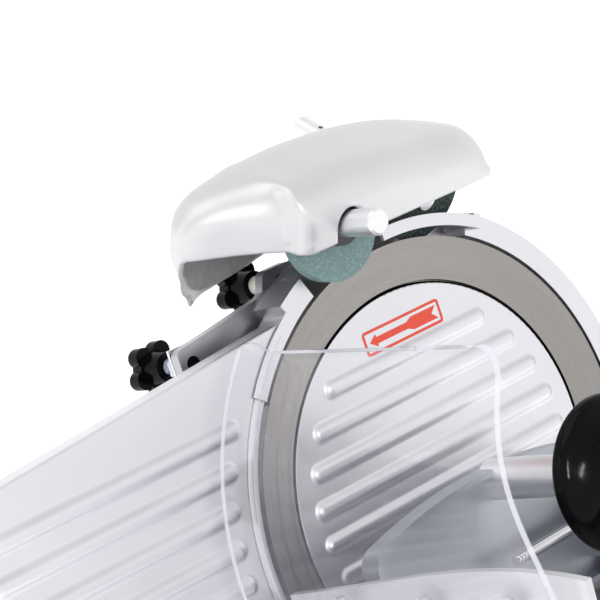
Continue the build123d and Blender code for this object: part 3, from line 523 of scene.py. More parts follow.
def blade_place(tree):
    """Coordinates in blade space, split, and the distance from the blade's axis."""
    place = add_node(tree, "ShaderNodeTexCoord")
    mapping = add_node(tree, "ShaderNodeMapping", vector_type="TEXTURE")
    mapping.inputs["Location"].default_value = BLADE.translation
    mapping.inputs["Rotation"].default_value = BLADE.to_euler()
    link(place.outputs["Object"], mapping.inputs["Vector"])
    split = add_node(tree, "ShaderNodeSeparateXYZ")
    link(mapping.outputs["Vector"], split.inputs["Vector"])
    flat = add_node(tree, "ShaderNodeCombineXYZ")
    link(split.outputs["X"], flat.inputs["X"])
    link(split.outputs["Y"], flat.inputs["Y"])
    radius = add_node(tree, "ShaderNodeVectorMath", operation="LENGTH")
    link(flat.outputs["Vector"], radius.inputs[0])
    return split.outputs, radius.outputs["Value"]


def layered_finish(name, colour, metallic, roughness, tint, gloss, bumps=None, shine=0.5):
    """Uneven tint and gloss (scale, detail, low, high) and bumps (scale, detail, strength, distance)."""
    material, tree, shader = start_finish(name, colour, metallic, roughness)
    shader.inputs["Specular IOR Level"].default_value = shine
    mottle(tree, spread(tree, *tint[:2]), shader, colour, *tint[2:])
    vary(tree, spread(tree, *gloss[:2]), shader.inputs["Roughness"], *gloss[2:])
    if bumps:
        emboss(tree, spread(tree, *bumps[:2]), shader, *bumps[2:])
    return material


def cast_finish(name, colour):
    """Satin cast aluminium with fine blasted grain and faint handling marks."""
    return layered_finish(name, colour, 1.0, 0.38, tint=(9.0, 3.0, 0.955, 1.03),
                          gloss=(38.0, 5.0, 0.33, 0.43), bumps=(2600.0, 2.0, 0.05, 0.0004))


def cover_finish(colours):
    """The cast finish, with a painted shadow along the blade cover's rim, where it meets the gap to the blade."""
    material = cast_finish("blade_cover_cast", colours.cast)
    tree = material.node_tree
    colour = tree.nodes["Principled BSDF"].inputs["Base Color"]
    plain = colour.links[0].from_socket
    radius = blade_place(tree)[1]
    # Painted shadow: the rim is darkened outside a radius
    seam = figure(tree, "GREATER_THAN", radius, COVER_SHADOW_RADIUS * MM)
    link(blend(tree, seam, plain, tuple(colours.seam)), colour)
    return material


def base_finish(colours):
    """Painted-smooth cast base, a little rougher than the plates."""
    return layered_finish("base_cast", colours.cast, 1.0, 0.42, tint=(6.0, 3.0, 0.93, 1.0),
                          gloss=(30.0, 5.0, 0.37, 0.48), bumps=(1500.0, 3.0, 0.07, 0.0005))


def shell_finish(colours):
    """Smooth hood outside and along its rim, raw cast inside."""
    shell = tuple(colours.shell)
    material, tree, shader = start_finish("hood_shell", shell, 0.7, 0.40)
    low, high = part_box("sharpener_hood")
    place = add_node(tree, "ShaderNodeTexCoord").outputs
    away = add_node(tree, "ShaderNodeVectorMath", operation="SUBTRACT")
    away.inputs[1].default_value = (low + high) / 2
    link(place["Object"], away.inputs[0])
    facing = dot(tree, away.outputs["Vector"], place["Normal"])
    hollow = figure(tree, "LESS_THAN", facing, 0.0)
    depth = dot(tree, place["Object"], HOOD_END_NORMAL)
    height = figure(tree, "SUBTRACT", depth, HOOD_END_NORMAL.dot(HOOD_END_RIM))
    wall = figure(tree, "GREATER_THAN", figure(tree, "ABSOLUTE", height, 0.0), HOOD_RIM_SKIN)
    inside = figure(tree, "MULTIPLY", hollow, wall)
    grain = spread(tree, scale=170.0, detail=6.0)
    raw = blend(tree, grain, shade(shell, 0.40), shade(shell, 0.85))
    link(blend(tree, inside, shell, raw), shader.inputs["Base Color"])
    gloss = add_node(tree, "ShaderNodeMix", {"B": 0.55}, data_type="FLOAT")
    vary(tree, spread(tree, scale=12.0, detail=2.0), gloss.inputs["A"], low=0.37, high=0.44)
    link(inside, gloss.inputs["Factor"])
    link(gloss.outputs["Result"], shader.inputs["Roughness"])
    emboss(tree, spread(tree, scale=260.0, detail=2.0), shader, strength=0.008, distance=0.0006)
    return material


def blade_finish(colours):
    """Ground steel with rings about the blade's axis."""
    material, tree, shader = start_finish("ground_blade", colours.blade, 1.0, 0.34)
    split, radius = blade_place(tree)
    around = figure(tree, "ARCTAN2", split["Y"], split["X"])
    ring = add_node(tree, "ShaderNodeCombineXYZ")
    link(radius, ring.inputs["X"])
    link(figure(tree, "MULTIPLY", around, RING_DRIFT), ring.inputs["Y"])
    fine = spread(tree, scale=1500.0, detail=2.0, source=ring.outputs["Vector"])
    coarse = spread(tree, scale=260.0, detail=3.0, source=ring.outputs["Vector"])
    mottle(tree, coarse, shader, colours.blade, low=0.90, high=1.10)
    vary(tree, fine, shader.inputs["Roughness"], low=0.27, high=0.42)
    emboss(tree, fine, shader, strength=0.06, distance=0.0003)
    return material


def polished_finish(name, colour, low, high, stretch=EVEN):
    """Polished metal with fine scratches along one direction."""
    material, tree, shader = start_finish(name, colour, 1.0, (low + high) / 2)
    scratches = spread(tree, scale=420.0, detail=4.0, stretch=stretch)
    mottle(tree, spread(tree, scale=25.0), shader, colour, low=0.94, high=1.02)
    vary(tree, scratches, shader.inputs["Roughness"], low, high)
    emboss(tree, scratches, shader, strength=0.02, distance=0.0003)
    return material


def moulded_finish(name, colour, roughness, shine=0.5):
    """Moulded plastic with a soft skin and faint smudges."""
    smudges = (60.0, 5.0, roughness - 0.05, roughness + 0.09)
    return layered_finish(name, colour, 0.0, roughness, tint=(45.0, 3.0, 0.8, 1.25), gloss=smudges,
                          bumps=(700.0, 2.0, 0.04, 0.0003), shine=shine)


def rubber_finish(colours):
    """Matte rubber with a dusty bloom."""
    return layered_finish("foot_rubber", colours.rubber, 0.0, 0.8, tint=(80.0, 6.0, 0.8, 1.9),
                          gloss=(200.0, 3.0, 0.68, 0.9), bumps=(1600.0, 4.0, 0.2, 0.0004))


def grit_finish(name, colour, grains):
    """Bonded abrasive: pale grains in a mottled matrix."""
    material, tree, shader = start_finish(name, colour, 0.0, 0.85)
    cells = add_node(tree, "ShaderNodeTexVoronoi", {"Scale": GRAIN_SCALE})
    place = add_node(tree, "ShaderNodeTexCoord")
    link(place.outputs["Object"], cells.inputs["Vector"])
    grain = add_node(tree, "ShaderNodeSeparateColor")
    link(cells.outputs["Color"], grain.inputs["Color"])
    sharp = remap(tree, grain.outputs["Red"], (DARK_GRAINS, 1.0))
    noise = spread(tree, scale=420.0, detail=6.0)
    matrix = blend(tree, noise, shade(colour, 0.72), shade(colour, 1.30))
    link(blend(tree, sharp, matrix, tuple(grains)), shader.inputs["Base Color"])
    emboss(tree, cells.outputs["Distance"], shader, strength=0.45, distance=0.0004)
    return material


def clear_finish(colours):
    """Clear acrylic: a faint mirror on its faces, and pale painted highlights along its sawn edges and its foot.
    """
    material, tree, shader = start_finish("clear_acrylic", colours.clear, 0.0, 0.05)
    split, distance = blade_place(tree)
    out = split["Z"]
    wall_low, wall_high = (GUARD_WALL[0] + EDGE_SKIN) * MM, (GUARD_WALL[1] - EDGE_SKIN) * MM
    flange_low, flange_high = (GUARD_FLANGE[0] + EDGE_SKIN) * MM, (GUARD_FLANGE[1] - EDGE_SKIN) * MM
    past_flange = figure(tree, "GREATER_THAN", out, GUARD_FLANGE[1] * MM)
    wall = figure(tree, "MULTIPLY", between(tree, distance, wall_low, wall_high), past_flange)
    past_wall = figure(tree, "GREATER_THAN", distance, GUARD_WALL[1] * MM)
    flange = figure(tree, "MULTIPLY", between(tree, out, flange_low, flange_high), past_wall)
    edge = figure(tree, "MAXIMUM", wall, flange)
    inner, outer, upper = (value * MM for value in GUARD_FOOT)
    along_wall = between(tree, distance, wall_low - inner, wall_low + outer)
    foot = figure(tree, "MULTIPLY", along_wall, figure(tree, "LESS_THAN", out, flange_low + upper))
    facing = add_node(tree, "ShaderNodeLayerWeight", {"Blend": 0.5}).outputs["Facing"]
    grazing = figure(tree, "POWER", facing, GRAZING_POWER)
    mirror = figure(tree, "MULTIPLY_ADD", grazing, GRAZING_MIRROR, FACE_MIRROR)
    haze = remap(tree, spread(tree, scale=26.0, detail=4.0), HAZE_SPAN, 0.0, MOST_HAZE)
    # Painted highlights: pale opaque lines along the sawn edges and the wall's foot
    lit = figure(tree, "MULTIPLY_ADD", foot, FOOT_LIGHT, figure(tree, "ADD", mirror, haze))
    solid = figure(tree, "MULTIPLY_ADD", edge, EDGE_LIGHT, lit)
    link(solid, shader.inputs["Alpha"])
    link(figure(tree, "SUBTRACT", 1.0, edge), shader.inputs["Metallic"])
    return material


def printed_finish(name, colour):
    """Printed film or paint with slight unevenness."""
    return layered_finish(name, colour, 0.0, 0.42, tint=(240.0, 4.0, 0.93, 1.06),
                          gloss=(300.0, 3.0, 0.36, 0.5))


def make_finishes(colours):
    """All finishes by name."""
    return {
        "cast": cast_finish("satin_cast", colours.cast),
        # Painted reflection: the pusher's cast is darkened for the dark surroundings it mirrors
        "pusher": cast_finish("pusher_cast", colours.pusher),
        # Painted shade: the tray's cast is darkened, as its lower front wall lies in shade
        "tray": cast_finish("tray_cast", shade(colours.cast, 0.86)),
        # Painted shade and reflection: the bracket's cast is darkened for the dark it mirrors on its inner face
        "bracket": cast_finish("bracket_cast", shade(colours.cast, 0.62)),
        "cover": cover_finish(colours),
        "base": base_finish(colours),
        "shell": shell_finish(colours),
        "blade": blade_finish(colours),
        "steel": polished_finish("polished_steel", colours.steel, low=0.08, high=0.18, stretch=ALONG_X),
        "bright": cast_finish("bright_steel", colours.bright),
        "zinc": polished_finish("zinc_plate", colours.zinc, low=0.24, high=0.36),
        "plastic": moulded_finish("black_plastic", colours.plastic, roughness=0.10, shine=0.10),
        "sleeve": moulded_finish("cream_sleeve", colours.sleeve, roughness=0.40),
        "rubber": rubber_finish(colours),
        "front_grit": grit_finish("front_grit", colours.front_grit, colours.front_grains),
        # Painted shade on the rear stone, which lies in shadow behind the blade
        "rear_grit": grit_finish("rear_grit", colours.rear_grit, colours.rear_grains),
        "clear": clear_finish(colours),
        "motor": moulded_finish("motor_paint", colours.motor, roughness=0.45),
        "bronze": polished_finish("sintered_bronze", colours.bronze, low=0.40, high=0.55),
        "start": moulded_finish("start_plastic", colours.start, roughness=0.25),
        "stop": moulded_finish("stop_plastic", colours.stop, roughness=0.25),
        "label": printed_finish("label_print", colours.label),
        "mark": printed_finish("white_mark", colours.mark),
    }


SLOT_FINISHES = {
    "cast_aluminium": "cast", "blade_steel": "blade", "polished_steel": "steel", "zinc_steel": "zinc",
    "black_plastic": "plastic", "clear_plastic": "clear", "black_rubber": "rubber",
    "teal_grit": "front_grit", "dark_grit": "rear_grit", "motor_paint": "motor", "bronze": "bronze",
    "green_button": "start", "red_button": "stop",
}
NODE_FINISHES = {
    "base_casting": "base", "drive_housing": "base", "rear_cover": "base", "sharpener_hood": "shell",
    "knob_spacers": "sleeve", "pusher_stem": "bright", "front_pin": "bright",
    # Pusher plate and hinge take the darkened cast, a painted reflection of dark surroundings
    "rear_pin": "bright", "pusher_plate": "pusher", "pusher_hinge": "pusher", "blade_cover": "cover",
    # The carriage tray takes the darkened cast, which is painted shade
    "carriage_tray": "tray", "knob_bracket": "bracket", "sharpener_frame": "motor",
}
FINISHES = {}


class SLICER_OT_finishes(bpy.types.Operator):
    """Give every solid of the slicer its finish"""

    bl_idname = "slicer.finishes"
    bl_label = "Finish the solids"

    def execute(self, context):
        FINISHES.update(make_finishes(context.scene.slicer_colours))
        slots = {part["node"]: part["material_slot"] for part in frame["record"]["subparts"]}
        for name, solid in frame["nodes"].items():
            finish = NODE_FINISHES.get(name) or SLOT_FINISHES[slots[name]]
            solid.data.materials.clear()
            solid.data.materials.append(FINISHES[finish])
        return {"FINISHED"}


# Smoothing of the hood's skin: strength, passes all over and on the open skin, and sharp angle
SMOOTHING = 0.5
SKIN_PASSES = 6
OPEN_PASSES = 90
SKIN_ANGLE = 70.0
# Height from which the skin is open, and its room round the pins
OPEN_SKIN = 343.5 * MM
PIN_ROOM = 12.5 * MM
# Spans over which the hood's ends are pulled, from none to full, in mm from the blade's centre
LEFT_X, FOOT_Z, DEEP_Z = (-60.0, -100.0), (150.0, 133.0), (133.0, 112.0)
BACK_X, BACK_Y, BACK_Z = (-45.0, -70.0), (84.0, 106.0), (130.0, 94.0)
RIGHT_X, RIGHT_Y, RIGHT_Z = (25.0, 65.0), (98.0, 60.0), (135.0, 150.0)
SHOULDER_X, SHOULDER_Z = (-35.0, -60.0), (140.0, 160.0)
# Full pulls in mm, and the share of the left end's pull that is gone deep down
LEFT_PULL = 4.0
FOOT_PULL = 2.5
DEEP_LOSS = 0.8
BACK_PULL = 10.0
RIGHT_RISE = 5.8
SHOULDER_DROP = 1.5


class SLICER_OT_hood_skin(bpy.types.Operator):
    """Round the hood's creases, away from its rim and its pins, and draw out its ends"""

    bl_idname = "slicer.hood_skin"
    bl_label = "Hood skin"

    def execute(self, context):
        skin = copy_solid("sharpener_hood", "hood_skin")
        apply_modifier(skin, "REMESH", mode="VOXEL", voxel_size=context.scene.slicer_sizes.hood_grain)
        apply_modifier(skin, "SMOOTH", factor=SMOOTHING, iterations=SKIN_PASSES)
        self.draw_out(skin)
        group = skin.vertex_groups.new(name="open_skin")
        low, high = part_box("sharpener_hood")
        edit(skin)
        bpy.ops.mesh.select_all(action="DESELECT")
        shape = bmesh.from_edit_mesh(skin.data)
        for vertex in shape.verts:
            outside = (vertex.co - (low + high) / 2).dot(vertex.normal) > 0
            vertex.select_set(outside and self.is_open(vertex.co))
        bmesh.update_edit_mesh(skin.data)
        bpy.ops.object.vertex_group_assign()
        deselect()
        apply_modifier(skin, "SMOOTH", factor=SMOOTHING, iterations=OPEN_PASSES, vertex_group=group.name)
        smooth(skin, SKIN_ANGLE)
        dress(skin, "shell", "sharpener", ["sharpener_hood"])
        return {"FINISHED"}

    def draw_out(self, skin):
        """Pull the left end outwards, most at its back corner's foot, and fill out the right end."""
        edit(skin)
        shape = bmesh.from_edit_mesh(skin.data)
        for vertex in shape.verts:
            x, y, z = (vertex.co - BLADE.translation) / MM
            left = (LEFT_PULL + FOOT_PULL * ease(z, *FOOT_Z)) * ease(x, *LEFT_X)
            left *= 1.0 - DEEP_LOSS * ease(z, *DEEP_Z)
            back = ease(x, *BACK_X) * min(ease(y, *BACK_Y), ease(z, *BACK_Z))
            vertex.co.x -= (left + BACK_PULL * back) * MM
            right = ease(x, *RIGHT_X) * ease(y, *RIGHT_Y) * ease(z, *RIGHT_Z)
            shoulder = ease(x, *SHOULDER_X) * ease(z, *SHOULDER_Z)
            vertex.co.z += (RIGHT_RISE * right - SHOULDER_DROP * shoulder) * MM
        bmesh.update_edit_mesh(skin.data)
        deselect()

    def is_open(self, point):
        """Whether a point is clear of the front rim and of both pin holes."""
        if point.z < OPEN_SKIN:
            return False
        for pin in (FRONT_PIN, REAR_PIN):
            local = pin.inverted() @ point
            if math.hypot(local.x, local.y) < PIN_ROOM:
                return False
        return True


# Blocks cut from the foot of the sharpener's frame: size and middle in blade space, in mm
FOOT_CUTS = [((50.0, 40.0, 12.0), (-51.0, 152.0, -37.0)), ((34.0, 60.0, 12.0), (-63.0, 130.0, -37.0))]
CUT_ROUNDING = 2.0


class SLICER_OT_stone_holder(bpy.types.Operator):
    """Trim the foot of the sharpener's frame beside its knob"""

    bl_idname = "slicer.stone_holder"
    bl_label = "Stone holder"

    def execute(self, context):
        holder = copy_solid("sharpener_frame", "stone_holder")
        for size, place in FOOT_CUTS:
            carve(holder, settle(bar("foot_cutter", size, place, CUT_ROUNDING), BLADE))
        smooth(holder)
        dress(holder, "motor", "sharpener", ["sharpener_frame"])
        return {"FINISHED"}


# Strips about the blade's axis: name, body, radii and heights in mm, and angles in degrees
TRIMS = [
    ("gauge_trim", "gauge", (127.4, 133.5), (-3.0, -1.05), (140.5, 221.0)),
    ("limb_cap", "frame", (127.2, 135.4), (-0.2, 0.7), (121.5, 142.0)),
]
TRIM_STEPS = 96
TRIM_ROUNDING = 0.25 * MM


class SLICER_OT_trims(bpy.types.Operator):
    """Add the wear strip on the gauge plate's edge and the cap on the ring's limb"""

    bl_idname = "slicer.trims"
    bl_label = "Trims"

    def execute(self, context):
        for name, body, *outline in TRIMS:
            dress(settle(self.arc(name, *outline), BLADE), "cast", body)
        return {"FINISHED"}

    def arc(self, name, radii, heights, angles):
        """Flat strip along an arc about the blade's axis."""
        width, depth = (radii[1] - radii[0]) * MM, (heights[1] - heights[0]) * MM
        middle = (sum(radii) / 2 * MM, 0, sum(heights) / 2 * MM)
        strip = card(name, width, depth, middle, QUARTER)
        edit(strip)
        bpy.ops.mesh.delete(type="ONLY_FACE")
        deselect()
        sweep(strip, 4, TRIM_STEPS, angle=math.radians(angles[1] - angles[0]), screw_offset=0.0)
        soften(strip, TRIM_ROUNDING)
        return settle(strip, spin(angles[0]))


# The label's corner radius, the room along and across its arrow, and its middle in mm
LABEL_CORNER = 2.0 * MM
ARROW_ROOM = (5.6 * MM, 6.0 * MM)
LABEL_AT = (3.0, 80.8, -4.98)
# The arrow's fletching and shaft as shares of its length, and its notch, waist, barb and head
FLETCH_SHARE = 0.36
SHAFT_SHARE = 0.44
ARROW_NOTCH = 4.0 * MM
ARROW_WAIST = 4.0 * MM
ARROW_BARB = 0.1 * MM
ARROW_HEAD = 5.0 * MM


class SLICER_OT_arrow_label(bpy.types.Operator):
    """Add the arrow label that shows which way the blade turns"""

    bl_idname = "slicer.arrow_label"
    bl_label = "Arrow label"

    def execute(self, context):
        sizes = context.scene.slicer_sizes
        length, height, film = sizes.label_length, sizes.label_height, sizes.label_film
        border = card("label_border", length, height)
        edit(border)
        bpy.ops.mesh.bevel(offset=LABEL_CORNER, segments=5, affect="VERTICES")
        bpy.ops.mesh.select_mode(type="FACE")
        bpy.ops.mesh.select_all(action="SELECT")
        bpy.ops.mesh.inset(thickness=sizes.label_line, depth=0.0)
        bpy.ops.mesh.delete(type="FACE")
        bpy.ops.mesh.select_all(action="SELECT")
        push((0, 0, film))
        close()
        arrow = self.arrow(length - ARROW_ROOM[0], height - ARROW_ROOM[1], film)
        label = join([border, arrow], "arrow_label")
        settle(label, BLADE @ shift(*LABEL_AT))
        dress(label, "label", "frame")
        return {"FINISHED"}

    def arrow(self, length, height, film):
        """Fletched arrow that points along minus X."""
        fletch = FLETCH_SHARE * length
        arrow = card("label_arrow", fletch, height, (length / 2 - fletch / 2, 0, 0))
        edit(arrow)
        near_end = length / 2 - NEAR
        pick(arrow, "edges", lambda middle: middle.x > near_end)
        bpy.ops.mesh.subdivide(number_cuts=1)
        pick(arrow, "verts", lambda middle: middle.x > near_end and abs(middle.y) < NEAR)
        bpy.ops.transform.translate(value=(-ARROW_NOTCH, 0, 0))
        steps = [(ARROW_WAIST, 0.50), (SHAFT_SHARE * length, 1.0), (ARROW_BARB, 1.9), (ARROW_HEAD, 0.02)]
        for step, share in steps:
            edge = min(vertex.co.x for vertex in bmesh.from_edit_mesh(arrow.data).verts)
            pick(arrow, "edges", lambda middle, edge=edge: middle.x < edge + LEVEL)
            push((-step, 0, 0))
            bpy.ops.transform.resize(value=(1.0, share, 1.0))
        bpy.ops.mesh.select_all(action="SELECT")
        push((0, 0, film))
        close()
        return arrow


# Thread: radius, start, turns, steps in a turn, and its ridge's radius as a share of the pitch
THREAD_RADIUS = 4.0 * MM
THREAD_LOW = 1.5 * MM
THREAD_TURNS = 4
THREAD_STEPS = 32
RIDGE_SHARE = 0.42


class SLICER_OT_stud_fittings(bpy.types.Operator):
    """Add the nut, the sleeves and the screw thread on the studs of the two hand knobs"""

    bl_idname = "slicer.stud_fittings"
    bl_label = "Stud fittings"

    def execute(self, context):
        nut = tube("stud_nut", outer=7.0, bore=4.1, low=7.6, high=10.6, vertices=6, rounding=0.5)
        dress(settle(nut, DEFLECTOR_KNOB), "zinc", "frame", ["knob_spacers"])
        spacer = settle(tube("stud_spacer", outer=6.0, bore=4.1, low=10.8, high=13.8), DEFLECTOR_KNOB)
        sleeve = settle(tube("stud_sleeve", outer=5.0, bore=4.1, low=0.0, high=9.6), SHARPENER_KNOB)
        dress(join([spacer, sleeve], "stud_sleeves"), "sleeve", "frame")
        thread = settle(self.thread(context.scene.slicer_sizes.thread_pitch), DEFLECTOR_KNOB)
        dress(thread, "zinc", "deflector_knob")
        return {"FINISHED"}

    def thread(self, pitch):
        """Ridge that climbs round a stud."""
        deselect()
        bpy.ops.mesh.primitive_circle_add(
            vertices=3, radius=RIDGE_SHARE * pitch, location=(THREAD_RADIUS, 0, THREAD_LOW),
            rotation=(QUARTER, 0, 0)
        )
        ridge = named("stud_thread")
        bpy.ops.object.transform_apply(location=True, rotation=True)
        sweep(ridge, 3, THREAD_STEPS, screw_offset=pitch, iterations=THREAD_TURNS)
        return ridge


# Rings on the brace: left ends, width, radius and rounding, and a point of the brace's axis, in mm
RING_LEFTS = (-13.7, -11.3, -8.9)
RING_WIDTH = 1.5
RING_RADIUS = 3.0
RING_ROUNDING = 0.35 * MM
BRACE_AT = (0, -44.0, 41.0)


class SLICER_OT_brace_rings(bpy.types.Operator):
    """Add the turned rings on the free end of the pusher's brace"""

    bl_idname = "slicer.brace_rings"
    bl_label = "Brace rings"

    def execute(self, context):
        place = BLADE @ shift(*BRACE_AT) @ spin(90.0, "Y")
        ring = soften(post("brace_ring", RING_RADIUS, 0, RING_WIDTH, 48), RING_ROUNDING)
        rings = repeat(ring, [place @ shift(0, 0, left) for left in RING_LEFTS])
        dress(join(rings, "brace_rings"), "steel", "pusher")
        return {"FINISHED"}


# Side of the guard's screws and their places along the tray, in blade space, in mm
SCREWS_SIDE = -17.0
SCREWS_OUT = (45.0, 105.0, 160.0)
# Screws of the rear cover and of the ring: name, head, shank, socket, radius, angles and tilt
HOUSING_SCREWS = [
    ("cover_screw", (4.0, 80.0, 83.0), (2.0, 70.0), 1.7, 41.2, (45, 135, 180, 0), 180.0),
    ("ring_screw", (4.5, -19.5, -16.4), (2.5, -28.0), 2.0, 51.0, (-62, -12, 38), 0.0),
]


class SLICER_OT_screws(bpy.types.Operator):
    """Give the guard, with collars and nuts, the rear cover and the ring their socket screws"""

    bl_idname = "slicer.screws"
    bl_label = "Screws"

    def execute(self, context):
        fixings = self.guard_fixings()
        dress(fixings, "bright", "carriage", ["guard_screws"])
        fixings = self.housing_fixings()
        dress(fixings, "zinc", "frame", ["housing_screws"])
        return {"FINISHED"}

    def guard_fixings(self):
        """Screws through the clear guard, each with its collar and nut."""
        places = [BLADE @ shift(0, SCREWS_SIDE, out) @ spin(-90.0, "Y") for out in SCREWS_OUT]
        screw = socket_screw("guard_screw", head=(5.5, 138.4, 142.0), shank=(2.5, 121.0), socket=2.2)
        collar = tube("guard_collar", outer=4.5, bore=2.5, low=129.0, high=132.4, rounding=0.3)
        nut = tube("guard_nut", outer=4.5, bore=2.5, low=121.5, high=125.0, vertices=6, rounding=0.3)
        pieces = [copy for piece in (screw, collar, nut) for copy in repeat(piece, places)]
        return join(pieces, "guard_fixings")

    def housing_fixings(self):
        """Screws about the blade's axis, in the rear cover and in the ring."""
        pieces = []
        for name, head, shank, socket, radius, angles, tilt in HOUSING_SCREWS:
            places = [BLADE @ spin(angle) @ shift(radius, 0, 0) @ spin(tilt, "X") for angle in angles]
            pieces += repeat(socket_screw(name, head, shank, socket), places)
        return join(pieces, "housing_fixings")


# Dial: last figure, radius and height of the figures, ticks and pointer, and the sizes of these, in mm
LAST_FIGURE = 12
FIGURES_AT = (26.1, 5.0)
TICKS_AT = (29.5, 3.0)
LONG_TICK, SHORT_TICK = (3.4, 0.5, 0.24), (1.8, 0.5, 0.24)
SKIRT_SLOPE = math.atan2(4.0, 3.0)
POINTER_AT = 36.0
POINTER = (2.6, -5.05, -4.75)
POINTER_ROUNDING = 0.08 * MM


class SLICER_OT_dial_marks(bpy.types.Operator):
    """Print the slice thickness on the dial's skirt, and its pointer on the base"""

    bl_idname = "slicer.dial_marks"
    bl_label = "Dial marks"

    def execute(self, context):
        sizes = context.scene.slicer_sizes
        pieces = []
        for number in range(LAST_FIGURE + 1):
            piece = self.text(str(number), sizes.figure_height, sizes.label_film)
            place = self.skirt(number * sizes.figure_turn, *FIGURES_AT)
            pieces.append(settle(piece, place @ spin(-90.0)))
        slope = Matrix.Rotation(SKIRT_SLOPE, 4, "Y")
        for first, size in enumerate((LONG_TICK, SHORT_TICK)):
            steps = range(first, 2 * LAST_FIGURE + 1, 2)
            places = [self.skirt(step * sizes.figure_turn / 2, *TICKS_AT) @ slope for step in steps]
            pieces += repeat(bar("dial_tick", size), places)
        dress(join(pieces, "dial_marks"), "mark", "dial")
        pointer = soften(post("dial_pointer", *POINTER, 3), POINTER_ROUNDING)
        place = DIAL @ shift(0, POINTER_AT, 0) @ spin(-90.0)
        dress(settle(pointer, place), "stop", "frame")
        return {"FINISHED"}

    def skirt(self, turn, radius, rise):
        """Place on the dial's skirt, by the turn from its first figure."""
        return DIAL @ (Matrix.Rotation(QUARTER + turn, 4, "Z") @ shift(radius, 0, rise))

    def text(self, body, height, film):
        """Figure with the thickness of a film, as a mesh."""
        deselect()
        bpy.ops.object.text_add()
        letters = bpy.context.object.data
        letters.body = body
        letters.size = height
        letters.extrude = film / 2
        letters.align_x = "CENTER"
        letters.align_y = "CENTER"
        bpy.ops.object.convert(target="MESH")
        piece = named("dial_figure")
        edit(piece)
        close()
        return piece


class SLICER_OT_button_signs(bpy.types.Operator):
    """Print the on and off signs on the two push buttons"""

    bl_idname = "slicer.button_signs"
    bl_label = "Button signs"

    def execute(self, context):
        start = bar("start_sign", (7.0, 1.3, 0.2))
        stop = tube("stop_sign", outer=3.6, bore=2.5, low=-0.1, high=0.1, rounding=0.05)
        for node, sign in (("start_button", start), ("stop_button", stop)):
            low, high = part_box(node)
            middle = (low + high) / 2
            face = Matrix.Translation((low.x, middle.y, middle.z)) @ spin(-90.0, "Y")
            dress(settle(sign, face), "mark", node)
        return {"FINISHED"}


# Studio, in metres and watts
FLOOR_GLOW = 0.42
# Light of the surroundings by height, from below to above
AIR_STEPS = [
    (0.0, 1.0), (0.5, 1.04), (0.615, 1.02), (0.74, 0.98), (0.83, 0.86), (0.92, 0.68), (1.0, 0.60),
]
# Soft boxes: name, place, target, size and power
SOFT_BOXES = [
    ("overhead_softbox", (-0.3, 0.3, 2.2), (0.0, 0.05, 0.2), (1.6, 1.6), 8.0),
    ("left_softbox", (-1.8, 0.3, 1.3), (0.0, 0.0, 0.25), (0.9, 0.9), 2.0),
    ("front_softbox", (-0.41, -1.75, 1.45), (0.04, -0.09, 0.25), (0.10, 0.45), 6.5),
]
# Camera: focal length and sensor in mm, clipping, place from the blade's centre, azimuth and elevation
LENS = 150.0
SENSOR = 36.0
CLIPPING = (0.05, 50.0)
CAMERA_AT = Vector((-0.8254, -0.7351, 0.7022))
AZIMUTH = math.radians(-44.16)
ELEVATION = math.radians(28.52)


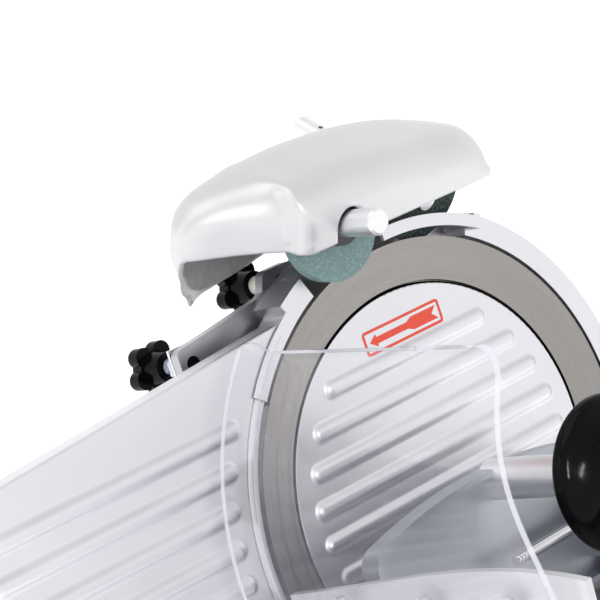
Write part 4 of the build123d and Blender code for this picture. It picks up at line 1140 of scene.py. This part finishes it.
class SLICER_OT_stage(bpy.types.Operator):
    """Set the pale floor, the soft lights and the camera"""

    bl_idname = "slicer.stage"
    bl_label = "Studio"

    def execute(self, context):
        scene = context.scene
        self.floor(scene)
        self.air(scene)
        self.lights(scene)
        self.camera(scene)
        scene.view_settings.view_transform = "Standard"
        return {"FINISHED"}

    def floor(self, scene):
        """Pale paper floor with a faint glow of its own."""
        deselect()
        width = scene.slicer_sizes.floor_width
        bpy.ops.mesh.primitive_grid_add(x_subdivisions=8, y_subdivisions=8, size=width)
        floor = named("studio_floor")
        colour = scene.slicer_colours.floor
        material, tree, shader = start_finish("floor_paper", colour, 0.0, 0.9)
        shader.inputs["Emission Color"].default_value = (1.0, 1.0, 1.0, 1.0)
        shader.inputs["Emission Strength"].default_value = FLOOR_GLOW
        vary(tree, spread(tree, scale=3.0), shader.inputs["Roughness"], low=0.85, high=0.95)
        floor.data.materials.append(material)

    def air(self, scene):
        """Even surroundings, a little darker overhead."""
        world = bpy.data.worlds.new("studio_air")
        scene.world = world
        world.use_nodes = True
        tree = world.node_tree
        background = tree.nodes["Background"]
        place = add_node(tree, "ShaderNodeTexCoord")
        split = add_node(tree, "ShaderNodeSeparateXYZ")
        link(place.outputs["Generated"], split.inputs["Vector"])
        ramp = add_node(tree, "ShaderNodeValToRGB")
        points = ramp.color_ramp.elements
        while len(points) < len(AIR_STEPS):
            points.new(0.5)
        for point, (position, level) in zip(points, AIR_STEPS):
            point.position = position
            point.color = (level, level, level, 1.0)
        link(remap(tree, split.outputs["Z"], (-1.0, 1.0)), ramp.inputs["Fac"])
        link(ramp.outputs["Color"], background.inputs["Color"])
        background.inputs["Strength"].default_value = 1.0

    def lights(self, scene):
        """Soft boxes that face the slicer."""
        for name, place, target, size, power in SOFT_BOXES:
            light = bpy.data.lights.new(name, "AREA")
            light.shape = "RECTANGLE"
            light.size, light.size_y = size
            light.energy = power
            lamp = bpy.data.objects.new(name, light)
            scene.collection.objects.link(lamp)
            lamp.location = place
            lamp.rotation_euler = (Vector(target) - Vector(place)).to_track_quat("-Z", "Y").to_euler()

    def camera(self, scene):
        """Camera at the photograph's angle."""
        lens = bpy.data.cameras.new("photo_camera")
        lens.lens = LENS
        lens.sensor_width = SENSOR
        lens.clip_start, lens.clip_end = CLIPPING
        camera = bpy.data.objects.new("photo_camera", lens)
        scene.collection.objects.link(camera)
        camera.location = BLADE.translation + CAMERA_AT
        camera.rotation_euler = Euler((QUARTER - ELEVATION, 0.0, AZIMUTH))
        scene.camera = camera


class SLICER_PT_panel(bpy.types.Panel):
    """Lists the slicer's operators, sizes and colours"""

    bl_idname = "SLICER_PT_panel"
    bl_label = "Food slicer"
    bl_space_type = "VIEW_3D"
    bl_region_type = "UI"
    bl_category = "Slicer"

    def draw(self, context):
        column = self.layout.column()
        for operator in OPERATORS:
            column.operator(operator.bl_idname)
        for group in (context.scene.slicer_sizes, context.scene.slicer_colours):
            for name in group.__annotations__:
                column.prop(group, name)


OPERATORS = [
    SLICER_OT_finishes, SLICER_OT_hood_skin, SLICER_OT_stone_holder, SLICER_OT_trims,
    SLICER_OT_arrow_label, SLICER_OT_stud_fittings, SLICER_OT_brace_rings, SLICER_OT_screws,
    SLICER_OT_dial_marks, SLICER_OT_button_signs, SLICER_OT_stage,
]
CLASSES = [SlicerSizes, SlicerColours, *OPERATORS, SLICER_PT_panel]


def register():
    """Register the classes, and hang the sizes and colours on the scene."""
    for item in CLASSES:
        bpy.utils.register_class(item)
    bpy.types.Scene.slicer_sizes = bpy.props.PointerProperty(type=SlicerSizes)
    bpy.types.Scene.slicer_colours = bpy.props.PointerProperty(type=SlicerColours)


def unregister():
    """Undo what register does, in the opposite order."""
    del bpy.types.Scene.slicer_colours
    del bpy.types.Scene.slicer_sizes
    for item in reversed(CLASSES):
        bpy.utils.unregister_class(item)


def main():
    """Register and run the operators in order."""
    register()
    for operator in OPERATORS:
        family, name = operator.bl_idname.split(".")
        getattr(getattr(bpy.ops, family), name)()


if __name__ == "__main__":
    main()
